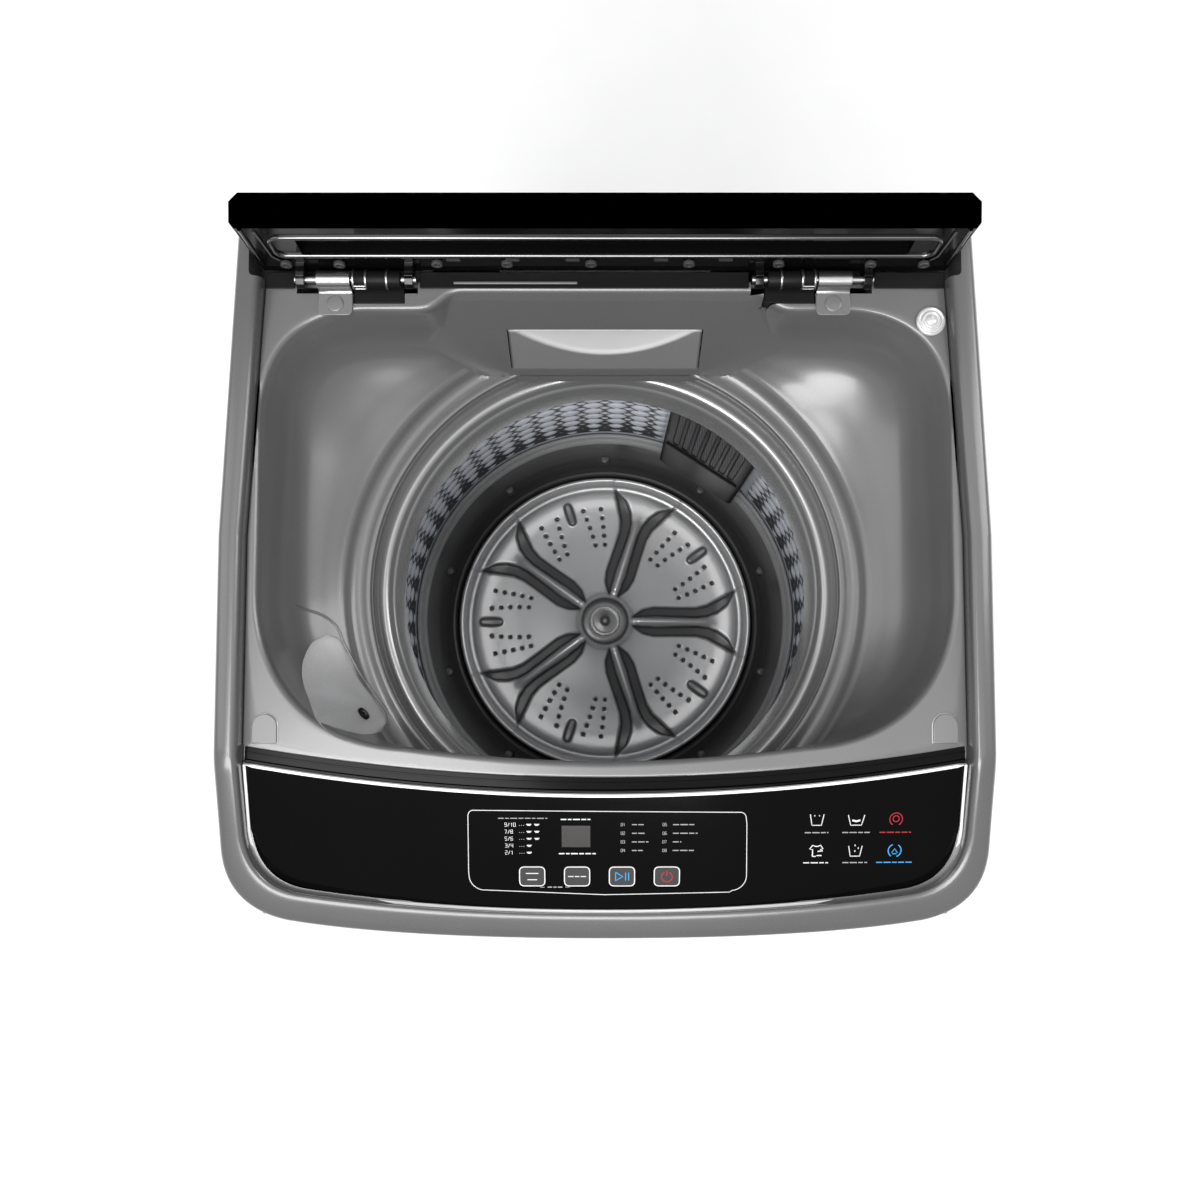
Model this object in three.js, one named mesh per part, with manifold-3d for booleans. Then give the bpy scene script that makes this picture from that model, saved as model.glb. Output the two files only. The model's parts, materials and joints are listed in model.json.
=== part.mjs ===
// Top-loading washing machine, built as an assembly of separate pieces.
// Millimetres, +Z up, front towards -Y. The origin is on the floor under the middle of the machine.
// The lid is open, as it stands while the machine is loaded.
import * as THREE from 'three';
import { mergeVertices } from 'three/addons/utils/BufferGeometryUtils.js';
import Module from 'manifold-3d';

const wasm = await Module();
wasm.setup();

// ---------------------------------------------------------------- driving dimensions
const GAP = 0.3; // clearance between pieces that touch
const HALF_WIDTH = 275; // top cover, at its widest
const FRONT_Y = -270; // top cover's front, at the middle of its bow
const BACK_Y = 270;
const TAPER = 10; // how much narrower each side of the cover is at the back
const COVER_BOTTOM = 852;
const COVER_TOP = 920;
const DECK_TOP = 905;
const DECK_THICK = 5;
const DECK_BACK = 207;
const OPENING_HALF = 257; // opening in the cover that holds the deck and the console
const OPENING_FRONT = -251;

const CONSOLE_TOP_Y = -163; // upper edge of the control panel, at the middle
const CONSOLE_DEPTH = 87;
const CONSOLE_BOW = 23; // how far the panel's upper edge bows forward
const CONSOLE_TILT = THREE.MathUtils.degToRad(20);
const CONSOLE_STEP = 15.4; // black ledge between the deck and the panel
const BUTTON_Y = -223;
const BUTTON_FIRST_X = -52.4;
const BUTTON_PITCH = 32.3;
const BUTTON_SIZE = [20, 17];

const SPIN_Y = -10; // the spin axis is at x 0
const TUB_RADIUS = 240;
const TUB_BOTTOM = 257;
const TUB_TOP = 748;
const BASKET_RADIUS = 215.5;
const BASKET_LOW = 372;
const BASKET_HIGH = 735;
const RING_TOP = 781;
const LIP_RADIUS = 186;
const PULSATOR_RADIUS = 172;
const PULSATOR_BOTTOM = 306;

const CABINET_HALF = 268;
const CABINET_FRONT = -258;
const CABINET_BACK = 256;
const CABINET_BOTTOM = 60.3;
const CABINET_TOP = 851;
const SHEET = 1.5;
const CORNER_RADIUS = 30;

const HINGE_Y = 206;
const HINGE_Z = 912;
const HINGE_BORE = 3.1;
const LID_OPEN = THREE.MathUtils.degToRad(95);
const LID_HALF = 261;
const LID_FRONT = -369; // from the hinge axis, at the middle of the front edge
const LID_TAIL = 10;
const LID_LOW = 10; // underside of the lid above the hinge axis
const LID_HIGH = 34;
const HINGES = [
  { side: 'left', strap: [-208, -183], damper: [-182.4, -146], lugs: [[-222, -216], [-144, -138]] },
  { side: 'right', strap: [153, 178], damper: [116, 152.4], lugs: [[108, 114], [186, 192]] },
];

const REAR_WALL_SLOPE = 0.35; // how the bowl's rear wall comes forward with depth
const DRAWER_HALF = 74;
const DRAWER_LOW = 814;
const DRAWER_HIGH = 862;

const ROD_X = 205;
const ROD_Y = 205; // from the spin axis
const ROD_RADIUS = 3.5;
const GUSSET_Z = 838;
const LUG_LOW = 300;
const LUG_HIGH = 310;
const SPRING_LOW = 239;

const VALVE_X = 150; // water inlet, in the back of the cover
const MOTOR_X = 150;
const BELT_LOW = 107.4;
const BELT_HIGH = 115.6;
const BIG_GROOVE = 54;
const SMALL_GROOVE = 14;
const BELT_THICK = 8;
const FOOT_X = 226;
const FOOT_Y = 216;
const FINE = 32; // sides of the large round pieces
const PLAIN = 20;
const SMALL = 10;

// ---------------------------------------------------------------- colours
const COLOURS = {
  deck: [0x6f7173, 0.35, 0.4],
  cover: [0x8a8c8e, 0.35, 0.5],
  panel: [0x08080a, 0.08, 0.1],
  trim: [0xc9cbcd, 0.2, 0.9],
  sheet: [0x9a9da0, 0.35, 0.6],
  galvanised: [0xa9adb0, 0.45, 0.8],
  blackPlastic: [0x1b1b1d, 0.5, 0.0],
  lid: [0x0d0d0f, 0.12, 0.1],
  glass: [0x1a1c20, 0.05, 0.0],
  chrome: [0xd5d6d8, 0.15, 1.0],
  steel: [0xb4b6ba, 0.3, 0.9],
  greyPlastic: [0x9fa1a4, 0.4, 0.1],
  whitePlastic: [0xd8d9da, 0.5, 0.0],
  ringPlastic: [0x85878a, 0.4, 0.1],
  charcoal: [0x2b2c2e, 0.5, 0.1],
  silverPlastic: [0xc2c4c6, 0.25, 0.7],
  castAluminium: [0x9c9fa3, 0.5, 0.8],
  rubber: [0x151515, 0.8, 0.0],
  board: [0x1f5a35, 0.5, 0.1],
  button: [0x3c3e41, 0.4, 0.2],
};

function material(name) {
  const [color, roughness, metalness] = COLOURS[name];
  return new THREE.MeshStandardMaterial({ color, roughness, metalness });
}

// ---------------------------------------------------------------- solids: joins and cuts
function toSolid(geometry) {
  const bare = geometry.clone();
  bare.deleteAttribute('normal');
  bare.deleteAttribute('uv');
  const merged = mergeVertices(bare, 1e-4);
  const triVerts = new Uint32Array(merged.index.array);
  const vertProperties = new Float32Array(merged.attributes.position.array);
  return new wasm.Manifold(new wasm.Mesh({ numProp: 3, vertProperties, triVerts }));
}

function toGeometry(solid) {
  const { vertProperties, triVerts } = solid.getMesh();
  const geometry = new THREE.BufferGeometry();
  geometry.setAttribute('position', new THREE.BufferAttribute(new Float32Array(vertProperties), 3));
  geometry.setIndex(new THREE.BufferAttribute(new Uint32Array(triVerts), 1));
  geometry.computeVertexNormals();
  return geometry;
}

function join(...solids) {
  return solids.reduce((whole, next) => whole.add(next));
}

function cut(solid, ...tools) {
  return tools.reduce((whole, tool) => whole.subtract(tool), solid);
}

// ---------------------------------------------------------------- solids: basic shapes
function box(x0, x1, y0, y1, z0, z1) {
  const geometry = new THREE.BoxGeometry(x1 - x0, y1 - y0, z1 - z0);
  geometry.translate((x0 + x1) / 2, (y0 + y1) / 2, (z0 + z1) / 2);
  return toSolid(geometry);
}

function postZ(radius, z0, z1, x = 0, y = 0, sides = SMALL) {
  const geometry = new THREE.CylinderGeometry(radius, radius, z1 - z0, sides);
  geometry.rotateX(Math.PI / 2);
  geometry.translate(x, y, (z0 + z1) / 2);
  return toSolid(geometry);
}

function postX(radius, x0, x1, y, z, sides = SMALL) {
  const geometry = new THREE.CylinderGeometry(radius, radius, x1 - x0, sides);
  geometry.rotateZ(Math.PI / 2);
  geometry.translate((x0 + x1) / 2, y, z);
  return toSolid(geometry);
}

function postY(radius, y0, y1, x, z, sides = SMALL) {
  const geometry = new THREE.CylinderGeometry(radius, radius, y1 - y0, sides);
  geometry.translate(x, (y0 + y1) / 2, z);
  return toSolid(geometry);
}

// A profile of [radius, height] points, anticlockwise, turned about a vertical axis.
// It starts and ends on the axis, or its last point leads back to its first.
function turned(profile, sides = PLAIN, x = 0, y = 0) {
  const points = profile.map(([radius, height]) => new THREE.Vector2(radius, height));
  const onAxis = profile[0][0] === 0 && profile[profile.length - 1][0] === 0;
  if (!onAxis) points.push(points[0].clone());
  const geometry = new THREE.LatheGeometry(points, sides);
  geometry.rotateX(Math.PI / 2);
  geometry.translate(x, y, 0);
  return toSolid(geometry);
}

function extruded(shape, z0, z1) {
  const options = { depth: z1 - z0, bevelEnabled: false, curveSegments: 10 };
  const geometry = new THREE.ExtrudeGeometry(shape, options);
  geometry.translate(0, 0, z0);
  return toSolid(geometry);
}

function polygon(points) {
  return new THREE.Shape(points.map(([x, y]) => new THREE.Vector2(x, y)));
}

// A [y, z] outline carried along X.
function bar(outline, x0, x1) {
  const geometry = new THREE.ExtrudeGeometry(polygon(outline), { depth: x1 - x0, bevelEnabled: false });
  geometry.rotateX(Math.PI / 2);
  geometry.rotateZ(Math.PI / 2);
  geometry.translate(x0, 0, 0);
  return toSolid(geometry);
}

function hose(points, radius, sides, steps) {
  const path = new THREE.CatmullRomCurve3(points.map((point) => new THREE.Vector3(...point)));
  const section = new THREE.Shape().absarc(0, 0, radius, 0, 2 * Math.PI);
  return toSolid(new THREE.ExtrudeGeometry(section, { steps, extrudePath: path, curveSegments: sides }));
}

// Rings of [x, y, z] points, all with the same count, from the bottom ring up, closed by flat caps.
function loft(rings) {
  const count = rings[0].length;
  const positions = rings.flat(2);
  const index = [];
  for (let level = 0; level + 1 < rings.length; level += 1) {
    for (let i = 0; i < count; i += 1) {
      const next = (i + 1) % count;
      const a = level * count + i;
      const b = level * count + next;
      index.push(a, b, b + count, a, b + count, a + count);
    }
  }
  const flat = (ring) => ring.map(([x, y]) => new THREE.Vector2(x, y));
  const cap = (ring) => THREE.ShapeUtils.triangulateShape(flat(ring), []);
  const top = (rings.length - 1) * count;
  cap(rings[0]).forEach(([a, b, c]) => index.push(c, b, a));
  cap(rings[rings.length - 1]).forEach(([a, b, c]) => index.push(top + a, top + b, top + c));
  const geometry = new THREE.BufferGeometry();
  geometry.setAttribute('position', new THREE.Float32BufferAttribute(positions, 3));
  geometry.setIndex(index);
  return toSolid(geometry);
}

// ---------------------------------------------------------------- plan outlines
// The cover seen from above: bowed front, rounded corners, sides that taper to the back.
function coverOutline(inset) {
  const half = HALF_WIDTH - inset;
  const back = BACK_Y - inset;
  const front = FRONT_Y + inset;
  const shape = new THREE.Shape();
  shape.moveTo(0, front);
  shape.quadraticCurveTo(half * 0.55, front, half - 44, front + 14);
  shape.quadraticCurveTo(half - 1, front + 24, half, front + 66);
  shape.lineTo(half, 20);
  shape.lineTo(half - TAPER, back - 22);
  shape.quadraticCurveTo(half - TAPER, back, half - TAPER - 24, back);
  shape.lineTo(-half + TAPER + 24, back);
  shape.quadraticCurveTo(-half + TAPER, back, -half + TAPER, back - 22);
  shape.lineTo(-half, 20);
  shape.lineTo(-half, front + 66);
  shape.quadraticCurveTo(-half + 1, front + 24, -half + 44, front + 14);
  shape.quadraticCurveTo(-half * 0.55, front, 0, front);
  return shape;
}

// The opening in the cover. A positive inset makes it smaller on all sides.
function openingOutline(inset) {
  const half = OPENING_HALF - inset;
  const front = OPENING_FRONT + inset;
  const back = DECK_BACK + GAP - inset;
  const shape = new THREE.Shape();
  shape.moveTo(0, front);
  shape.quadraticCurveTo(half * 0.5, front, half - 36, front + 15);
  shape.quadraticCurveTo(half - 2, front + 22, half, front + 60);
  shape.lineTo(half, 20);
  shape.lineTo(half - TAPER, back);
  shape.lineTo(-half + TAPER, back);
  shape.lineTo(-half, 20);
  shape.lineTo(-half, front + 60);
  shape.quadraticCurveTo(-half + 2, front + 22, -half + 36, front + 15);
  shape.quadraticCurveTo(-half * 0.5, front, 0, front);
  return shape;
}

// How far the console's upper edge lies behind its middle, at a distance x from the middle.
function bowAt(x) {
  return CONSOLE_BOW * (x / LID_HALF) ** 2;
}

function levelRing(shape, z) {
  return shape.getPoints(4).slice(0, -1).map((point) => [point.x, point.y, z]);
}

// ---------------------------------------------------------------- the bowl
// Half of the bowl's edge on the deck, from the middle of the back to the middle of the front.
function bowlEdge() {
  const path = new THREE.Path();
  path.moveTo(0, 198.5);
  path.lineTo(104, 198.5);
  path.bezierCurveTo(120, 198.5, 118, 185, 138, 185);
  path.lineTo(176, 185);
  path.bezierCurveTo(222, 183, 247, 158, 249, 108);
  path.lineTo(249, -20);
  path.bezierCurveTo(248, -78, 214, -127, 140, -130);
  path.quadraticCurveTo(70, -139, 0, -140);
  return path.getPoints(24);
}

// Distance from the spin axis to the bowl's edge, in the direction of an angle.
function edgeRadius(angle) {
  const points = bowlEdge();
  const x = Math.abs(Math.cos(angle));
  const y = Math.sin(angle);
  for (let i = 0; i + 1 < points.length; i += 1) {
    const a = points[i];
    const b = points[i + 1];
    const ay = a.y - SPIN_Y;
    const by = b.y - SPIN_Y;
    const across = x * (by - ay) - y * (b.x - a.x);
    if (Math.abs(across) < 1e-9) continue;
    const along = (y * a.x - x * ay) / across;
    const radius = (a.x * by - ay * b.x) / across;
    if (along >= -1e-9 && along <= 1 + 1e-9 && radius > 0) return radius;
  }
  return LIP_RADIUS;
}

// The bowl's levels from the lip up: height, share of the way in to the circle, circle radius.
const BOWL_LEVELS = [
  [796, 1, LIP_RADIUS],
  [800, 1, LIP_RADIUS],
  [807, 1, 200],
  [813, 0.97, 208],
  [822, 0.75, 208],
  [838, 0.36, 208],
  [858, 0.16, 208],
  [885, 0.06, 208],
  [DECK_TOP, 0, 208],
];

function rearWallY(z) {
  return 198.5 - (DECK_TOP - z) * REAR_WALL_SLOPE;
}

// One level of the bowl. A negative grow makes it smaller.
function bowlRing([z, share, circle], grow, lift = 0) {
  const ring = [];
  const count = 44;
  for (let i = 0; i < count; i += 1) {
    const angle = ((i + 0.5) / count) * 2 * Math.PI;
    const plain = (1 - share) * edgeRadius(angle) + share * circle;
    const towardsWall = (rearWallY(z) - SPIN_Y) / Math.max(Math.sin(angle), 0.01);
    const radius = Math.min(plain, towardsWall) + grow;
    ring.push([radius * Math.cos(angle), SPIN_Y + radius * Math.sin(angle), z + lift]);
  }
  return ring;
}

function bowlVolume(grow, lift = 0) {
  return loft(BOWL_LEVELS.map((level) => bowlRing(level, grow, lift)));
}

function bowlHollow() {
  const rings = BOWL_LEVELS.map((level) => bowlRing(level, 0));
  const below = bowlRing([BOWL_LEVELS[0][0] - 6, 1, LIP_RADIUS], 0);
  const above = bowlRing([DECK_TOP, 0, LIP_RADIUS], 0, 4);
  return loft([below, ...rings.slice(1), above]);
}

// ---------------------------------------------------------------- console sheets
// A strip that follows the console: [dy, dz] points from the panel's upper edge, bowed across the width.
function consoleStrip(outline) {
  const stations = 8;
  const rings = [];
  for (let i = 0; i <= stations; i += 1) {
    const x = -OPENING_HALF - 3 + (i * 2 * (OPENING_HALF + 3)) / stations;
    rings.push(outline.map(([dy, dz]) => [CONSOLE_TOP_Y + bowAt(x) + dy, DECK_TOP + dz, x]));
  }
  // The rings were built along Z, so the loft is turned to run along X.
  return loft(rings).transform([0, 1, 0, 0, 0, 0, 1, 0, 1, 0, 0, 0, 0, 0, 0, 1]);
}

function slopeAt(dy) {
  return dy * Math.tan(CONSOLE_TILT);
}

function panelPoint(x, y) {
  return [x, y, DECK_TOP + slopeAt(y - CONSOLE_TOP_Y - bowAt(x))];
}

// ---------------------------------------------------------------- scene graph
const machine = new THREE.Group();
const tub = new THREE.Group();
const lid = new THREE.Group();
machine.add(tub, lid);

function place(parent, name, solid, look) {
  const mesh = new THREE.Mesh(toGeometry(solid), material(look));
  mesh.name = name;
  parent.add(mesh);
  return mesh;
}

// ---------------------------------------------------------------- cabinet
function cabinetOutline(inset) {
  const half = CABINET_HALF - inset;
  const front = CABINET_FRONT + inset;
  const radius = CORNER_RADIUS - inset;
  const shape = new THREE.Shape();
  shape.moveTo(-half + radius, front);
  shape.lineTo(half - radius, front);
  shape.absarc(half - radius, front + radius, radius, -Math.PI / 2, 0);
  shape.lineTo(half, CABINET_BACK);
  shape.lineTo(-half, CABINET_BACK);
  shape.lineTo(-half, front + radius);
  shape.absarc(-half + radius, front + radius, radius, Math.PI, 1.5 * Math.PI);
  return shape;
}

function rodPlaces() {
  return [
    ['front_left', -ROD_X, SPIN_Y - ROD_Y],
    ['front_right', ROD_X, SPIN_Y - ROD_Y],
    ['rear_left', -ROD_X, SPIN_Y + ROD_Y],
    ['rear_right', ROD_X, SPIN_Y + ROD_Y],
  ];
}

// A corner plate welded into the cabinet, with a hole for the suspension rod.
function cornerGusset([, x, y]) {
  const sideX = Math.sign(x) * (CABINET_HALF - SHEET / 2);
  const endY = y > 0 ? CABINET_BACK - 1 : CABINET_FRONT + SHEET / 2;
  const inX = Math.sign(x) * 168;
  const inY = y > 0 ? endY - 96 : endY + 96;
  const corner = y > 0 ? 0 : CORNER_RADIUS * 0.35;
  const outX = sideX - Math.sign(x) * corner;
  const points = [[inX, endY], [outX, endY], [sideX, endY + (y > 0 ? 0 : corner)], [sideX, inY]];
  const turnedOver = THREE.ShapeUtils.isClockWise(points.map(([a, b]) => new THREE.Vector2(a, b)));
  const plate = extruded(polygon(turnedOver ? points.reverse() : points), GUSSET_Z, GUSSET_Z + 2.5);
  return cut(plate, postZ(ROD_RADIUS + 0.8, GUSSET_Z - 5, GUSSET_Z + 8, x, y));
}

function cabinetWrapper() {
  const outside = extruded(cabinetOutline(0), CABINET_BOTTOM, CABINET_TOP);
  const inside = extruded(cabinetOutline(SHEET), CABINET_BOTTOM - 5, CABINET_TOP + 5);
  const backGap = box(-250, 250, CABINET_BACK - 8, CABINET_BACK + 8, CABINET_BOTTOM - 5, CABINET_TOP + 5);
  const gussets = rodPlaces().map(cornerGusset);
  return join(cut(outside, inside, backGap), ...gussets);
}

function rearPanel() {
  const front = CABINET_BACK + 0.4;
  const plate = box(-266, 266, front, front + SHEET, 64, 848);
  const ribs = [200, 330, 460, 590, 720].map((z) => box(-215, 215, front + 0.5, front + 4, z - 12, z + 12));
  const holes = [postY(17.6, 250, 270, -200, 120), postY(9.6, 250, 270, 200, 150)];
  return cut(join(plate, ...ribs), ...holes);
}

function baseFrame() {
  const outside = extruded(cabinetOutline(0), 20, 60);
  const hollow = box(-240, 240, -230, 228, 10, 70);
  const corners = [[-1, -1], [1, -1], [-1, 1], [1, 1]];
  const bosses = corners.map(([sx, sy]) => postZ(27, 20, 60, sx * FOOT_X, sy * FOOT_Y));
  const rearPads = corners.slice(2).map(([sx, sy]) => postZ(22, 0, 21, sx * FOOT_X, sy * FOOT_Y));
  const bores = corners.slice(0, 2).map(([sx, sy]) => postZ(5.4, 10, 70, sx * FOOT_X, sy * FOOT_Y));
  return cut(join(cut(outside, hollow), ...bosses, ...rearPads), ...bores);
}

function footFront(x) {
  const profile = [[0, 0], [21, 0], [22, 2], [22, 9], [10, 12], [5, 12], [5, 54], [0, 54]];
  return turned(profile, SMALL, x, -FOOT_Y);
}

place(machine, 'cabinet_wrapper', cabinetWrapper(), 'sheet');
place(machine, 'rear_panel', rearPanel(), 'galvanised');
place(machine, 'base_frame', baseFrame(), 'blackPlastic');
place(machine, 'foot_front_left', footFront(-FOOT_X), 'rubber');
place(machine, 'foot_front_right', footFront(FOOT_X), 'rubber');

// ---------------------------------------------------------------- top cover and deck
function coverBody() {
  const levels = [
    [COVER_BOTTOM, 1.5],
    [COVER_BOTTOM + 3, 0],
    [COVER_TOP - 9, 0],
    [COVER_TOP - 3, 1.8],
    [COVER_TOP, 5.5],
  ];
  return loft(levels.map(([z, inset]) => levelRing(coverOutline(inset), z)));
}

function topCover() {
  const ledgeTop = DECK_TOP - DECK_THICK - GAP;
  const seat = extruded(openingOutline(0), ledgeTop, COVER_TOP + 5);
  const through = extruded(openingOutline(8), COVER_BOTTOM - 5, ledgeTop + 1);
  const run = 160;
  const breakY = -138;
  const slope = [[breakY, COVER_TOP], [breakY + 2, COVER_TOP + 20], [breakY - run, COVER_TOP + 20]];
  slope.push([breakY - run, COVER_TOP + slopeAt(-run)]);
  const frontSlope = bar(slope, -HALF_WIDTH - 5, HALF_WIDTH + 5);
  const consoleSeat = extruded(openingOutline(0), 864, COVER_TOP + 5);
  const frontHalf = box(-HALF_WIDTH, HALF_WIDTH, FRONT_Y, -124, COVER_BOTTOM, COVER_TOP + 5);
  const trough = box(-255, 255, DECK_BACK - 1, 246, 886, COVER_TOP + 5);
  const rearHollow = box(-252, 252, DECK_BACK - 12, 264, COVER_BOTTOM - 5, 882);
  const valveHole = postY(11.5, 255, 280, VALVE_X, 866);
  const bowlRoom = join(
    box(-253.5, 253.5, -110, 187, COVER_BOTTOM - 5, ledgeTop + 1),
    box(-125, 125, 180, 203.5, COVER_BOTTOM - 5, ledgeTop + 1),
  );
  const damperPockets = HINGES.map(({ damper: [x0, x1] }) => box(x0 - 0.6, x1 + 0.6, 190, 213, 890, 930));
  const shell = cut(coverBody(), seat, through, trough, rearHollow, valveHole, bowlRoom);
  return cut(shell, frontSlope, consoleSeat.intersect(frontHalf), ...damperPockets);
}

function deckPlate() {
  const plate = extruded(openingOutline(0.4), DECK_TOP - DECK_THICK, DECK_TOP);
  const stations = [-260, -195, -130, -65, 0, 65, 130, 195, 260];
  const edge = stations.map((x) => [x, CONSOLE_TOP_Y + CONSOLE_STEP + GAP + bowAt(x)]);
  const consoleSide = polygon([[-260, -300], [260, -300], ...edge.reverse()]);
  return cut(plate, extruded(consoleSide, DECK_TOP - 20, DECK_TOP + 20));
}

function hingeNotches() {
  return HINGES.flatMap(({ lugs, damper: [x0, x1] }) => [
    box(lugs[0][0] - 2, lugs[1][1] + 2, 198, 212, DECK_TOP - 20, DECK_TOP + 5),
    box(x0 - 0.6, x1 + 0.6, 190.5, 212, DECK_TOP - 20, DECK_TOP + 5),
  ]);
}

function drawerOpening(gap) {
  const half = DRAWER_HALF + gap;
  return box(-half, half, 140, 203, DRAWER_LOW - gap, DRAWER_HIGH + gap);
}

function deckBowl() {
  const shell = join(deckPlate(), bowlVolume(3));
  return cut(shell, bowlHollow(), ...hingeNotches(), drawerOpening(0.8));
}

place(machine, 'top_cover', topCover(), 'cover');
place(machine, 'deck_bowl', deckBowl(), 'deck');

// ---------------------------------------------------------------- small pieces on the deck
// A patch that hugs the bowl: a plan outline, kept between two copies of the bowl's surface.
// Each copy is [how far it moves in, how far it moves up].
function bowlPatch(shape, near, far) {
  const column = extruded(shape, BOWL_LEVELS[2][0], 864);
  return cut(column.intersect(bowlVolume(-near[0], near[1])), bowlVolume(-far[0], far[1]));
}

function softenerOutline() {
  const shape = new THREE.Shape();
  shape.moveTo(-224, -52);
  shape.bezierCurveTo(-232, -70, -226, -104, -196, -126);
  shape.quadraticCurveTo(-182, -134, -177, -124);
  shape.quadraticCurveTo(-186, -98, -200, -76);
  shape.quadraticCurveTo(-208, -48, -216, -45);
  shape.quadraticCurveTo(-221, -45, -224, -52);
  return shape;
}

function discOutline(x, y, radius) {
  return new THREE.Shape().absarc(x, y, radius, 0, 2 * Math.PI);
}

function bumper(x) {
  const shape = new THREE.Shape();
  shape.moveTo(x - 9, -127);
  shape.lineTo(x + 9, -127);
  shape.lineTo(x + 9, -115);
  shape.absarc(x, -115, 9, 0, Math.PI);
  return extruded(shape, DECK_TOP + GAP, DECK_TOP + 5);
}

function spiritLevel() {
  const profile = [[0, 905.3], [10, 905.3], [10, 908.5], [7.5, 910], [6.5, 910], [5, 911], [0, 911.5]];
  return turned(profile, SMALL, 236, 179);
}

place(machine, 'softener_cover', bowlPatch(softenerOutline(), [0.5, 0.3], [3.5, 2.5]), 'silverPlastic');
place(machine, 'softener_screw', bowlPatch(discOutline(-184, -109, 5), [3.9, 3], [6, 5]), 'blackPlastic');
place(machine, 'bumper_left', bumper(-241), 'greyPlastic');
place(machine, 'bumper_right', bumper(241), 'greyPlastic');
place(machine, 'spirit_level', spiritLevel(), 'chrome');

// ---------------------------------------------------------------- hinges
function hingeStrap([x0, x1]) {
  const tab = box(x0, x1, 182, 203, DECK_TOP + GAP, DECK_TOP + 2.5);
  const knuckle = postX(6.4, x0, x1, HINGE_Y, HINGE_Z);
  return cut(join(tab, knuckle), postX(HINGE_BORE, x0 - 5, x1 + 5, HINGE_Y, HINGE_Z));
}

function hingeDamper([x0, x1]) {
  const body = box(x0, x1, 192, 212, 893, 919);
  return cut(body, postX(HINGE_BORE, x0 - 5, x1 + 5, HINGE_Y, HINGE_Z));
}

HINGES.forEach(({ side, strap, damper }) => {
  place(machine, `hinge_strap_${side}`, hingeStrap(strap), 'steel');
  place(machine, `hinge_damper_${side}`, hingeDamper(damper), 'blackPlastic');
});

// ---------------------------------------------------------------- console
function buttonHole(x, grow, depth) {
  const [wide, tall] = BUTTON_SIZE;
  const geometry = new THREE.BoxGeometry(wide + 2 * grow, tall + 2 * grow, depth);
  geometry.rotateX(CONSOLE_TILT);
  geometry.translate(...panelPoint(x, BUTTON_Y));
  return toSolid(geometry);
}

function buttonX(i) {
  return BUTTON_FIRST_X + i * BUTTON_PITCH;
}

function consolePanel() {
  const end = -CONSOLE_DEPTH - 8;
  const slope = slopeAt(end);
  const outline = [
    [CONSOLE_STEP, -6.5], [CONSOLE_STEP, -2], [0.3, -2], [0.3, -3.4], [-2, -3.4], [-2, slopeAt(-2)],
    [end, slope], [end, slope - 4], [-2, -6.5],
  ];
  const sheet = consoleStrip(outline).intersect(extruded(openingOutline(2.6), 850, 930));
  return cut(sheet, ...[0, 1, 2, 3].map((i) => buttonHole(buttonX(i), 0.35, 30)));
}

function consoleTrim() {
  const end = -CONSOLE_DEPTH - 8;
  const thick = [[0, 0.8], [end, slopeAt(end) + 0.8], [end, slopeAt(end) - 2.4], [0, -2.4]];
  const inner = [[-1.7, 8], [end - 5, slopeAt(end) + 8], [end - 5, slopeAt(end) - 12], [-1.7, -12]];
  const band = consoleStrip(thick).intersect(extruded(openingOutline(0.4), 850, 930));
  return cut(band, consoleStrip(inner).intersect(extruded(openingOutline(2.3), 840, 940)));
}

function buttonCap() {
  const [wide, tall] = BUTTON_SIZE;
  const shape = new THREE.Shape();
  const corner = 2;
  shape.moveTo(-wide / 2 + corner, -tall / 2);
  shape.absarc(wide / 2 - corner, -tall / 2 + corner, corner, -Math.PI / 2, 0);
  shape.absarc(wide / 2 - corner, tall / 2 - corner, corner, 0, Math.PI / 2);
  shape.absarc(-wide / 2 + corner, tall / 2 - corner, corner, Math.PI / 2, Math.PI);
  shape.absarc(-wide / 2 + corner, -tall / 2 + corner, corner, Math.PI, 1.5 * Math.PI);
  const geometry = new THREE.ExtrudeGeometry(shape, { depth: 8.6, bevelEnabled: false, curveSegments: 2 });
  geometry.translate(0, 0, -8);
  return toSolid(geometry);
}

function controlBoard() {
  const parts = [
    box(-112, 112, -34, 34, -1.6, 0),
    box(-34, -6, 8, 26, -1, 9),
    box(60, 96, -20, 18, -20, -1),
    box(-100, -70, -22, 20, -16, -1),
    box(10, 44, 4, 28, -12, -1),
  ];
  return join(...parts);
}

place(machine, 'console_panel', consolePanel(), 'panel');
place(machine, 'console_trim', consoleTrim(), 'trim');
['water_level', 'program', 'start_pause', 'power'].forEach((label, i) => {
  const cap = place(machine, `button_${label}`, buttonCap(), 'button');
  cap.position.set(...panelPoint(buttonX(i), BUTTON_Y));
  cap.rotation.x = CONSOLE_TILT;
});
const board = place(machine, 'control_board', controlBoard(), 'board');
board.position.set(-4, -206, 870);
board.rotation.x = CONSOLE_TILT;

// ---------------------------------------------------------------- water in and out
function inletBox() {
  const frontAt = (z) => rearWallY(z) + 4.5;
  const outside = bar([[frontAt(806), 806], [246, 806], [246, 869], [frontAt(869), 869]], -80, 80);
  const hollow = bar([[frontAt(809) - 20, 809], [242, 809], [242, 866], [frontAt(866) - 20, 866]], -76, 76);
  return cut(outside, hollow);
}

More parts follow.
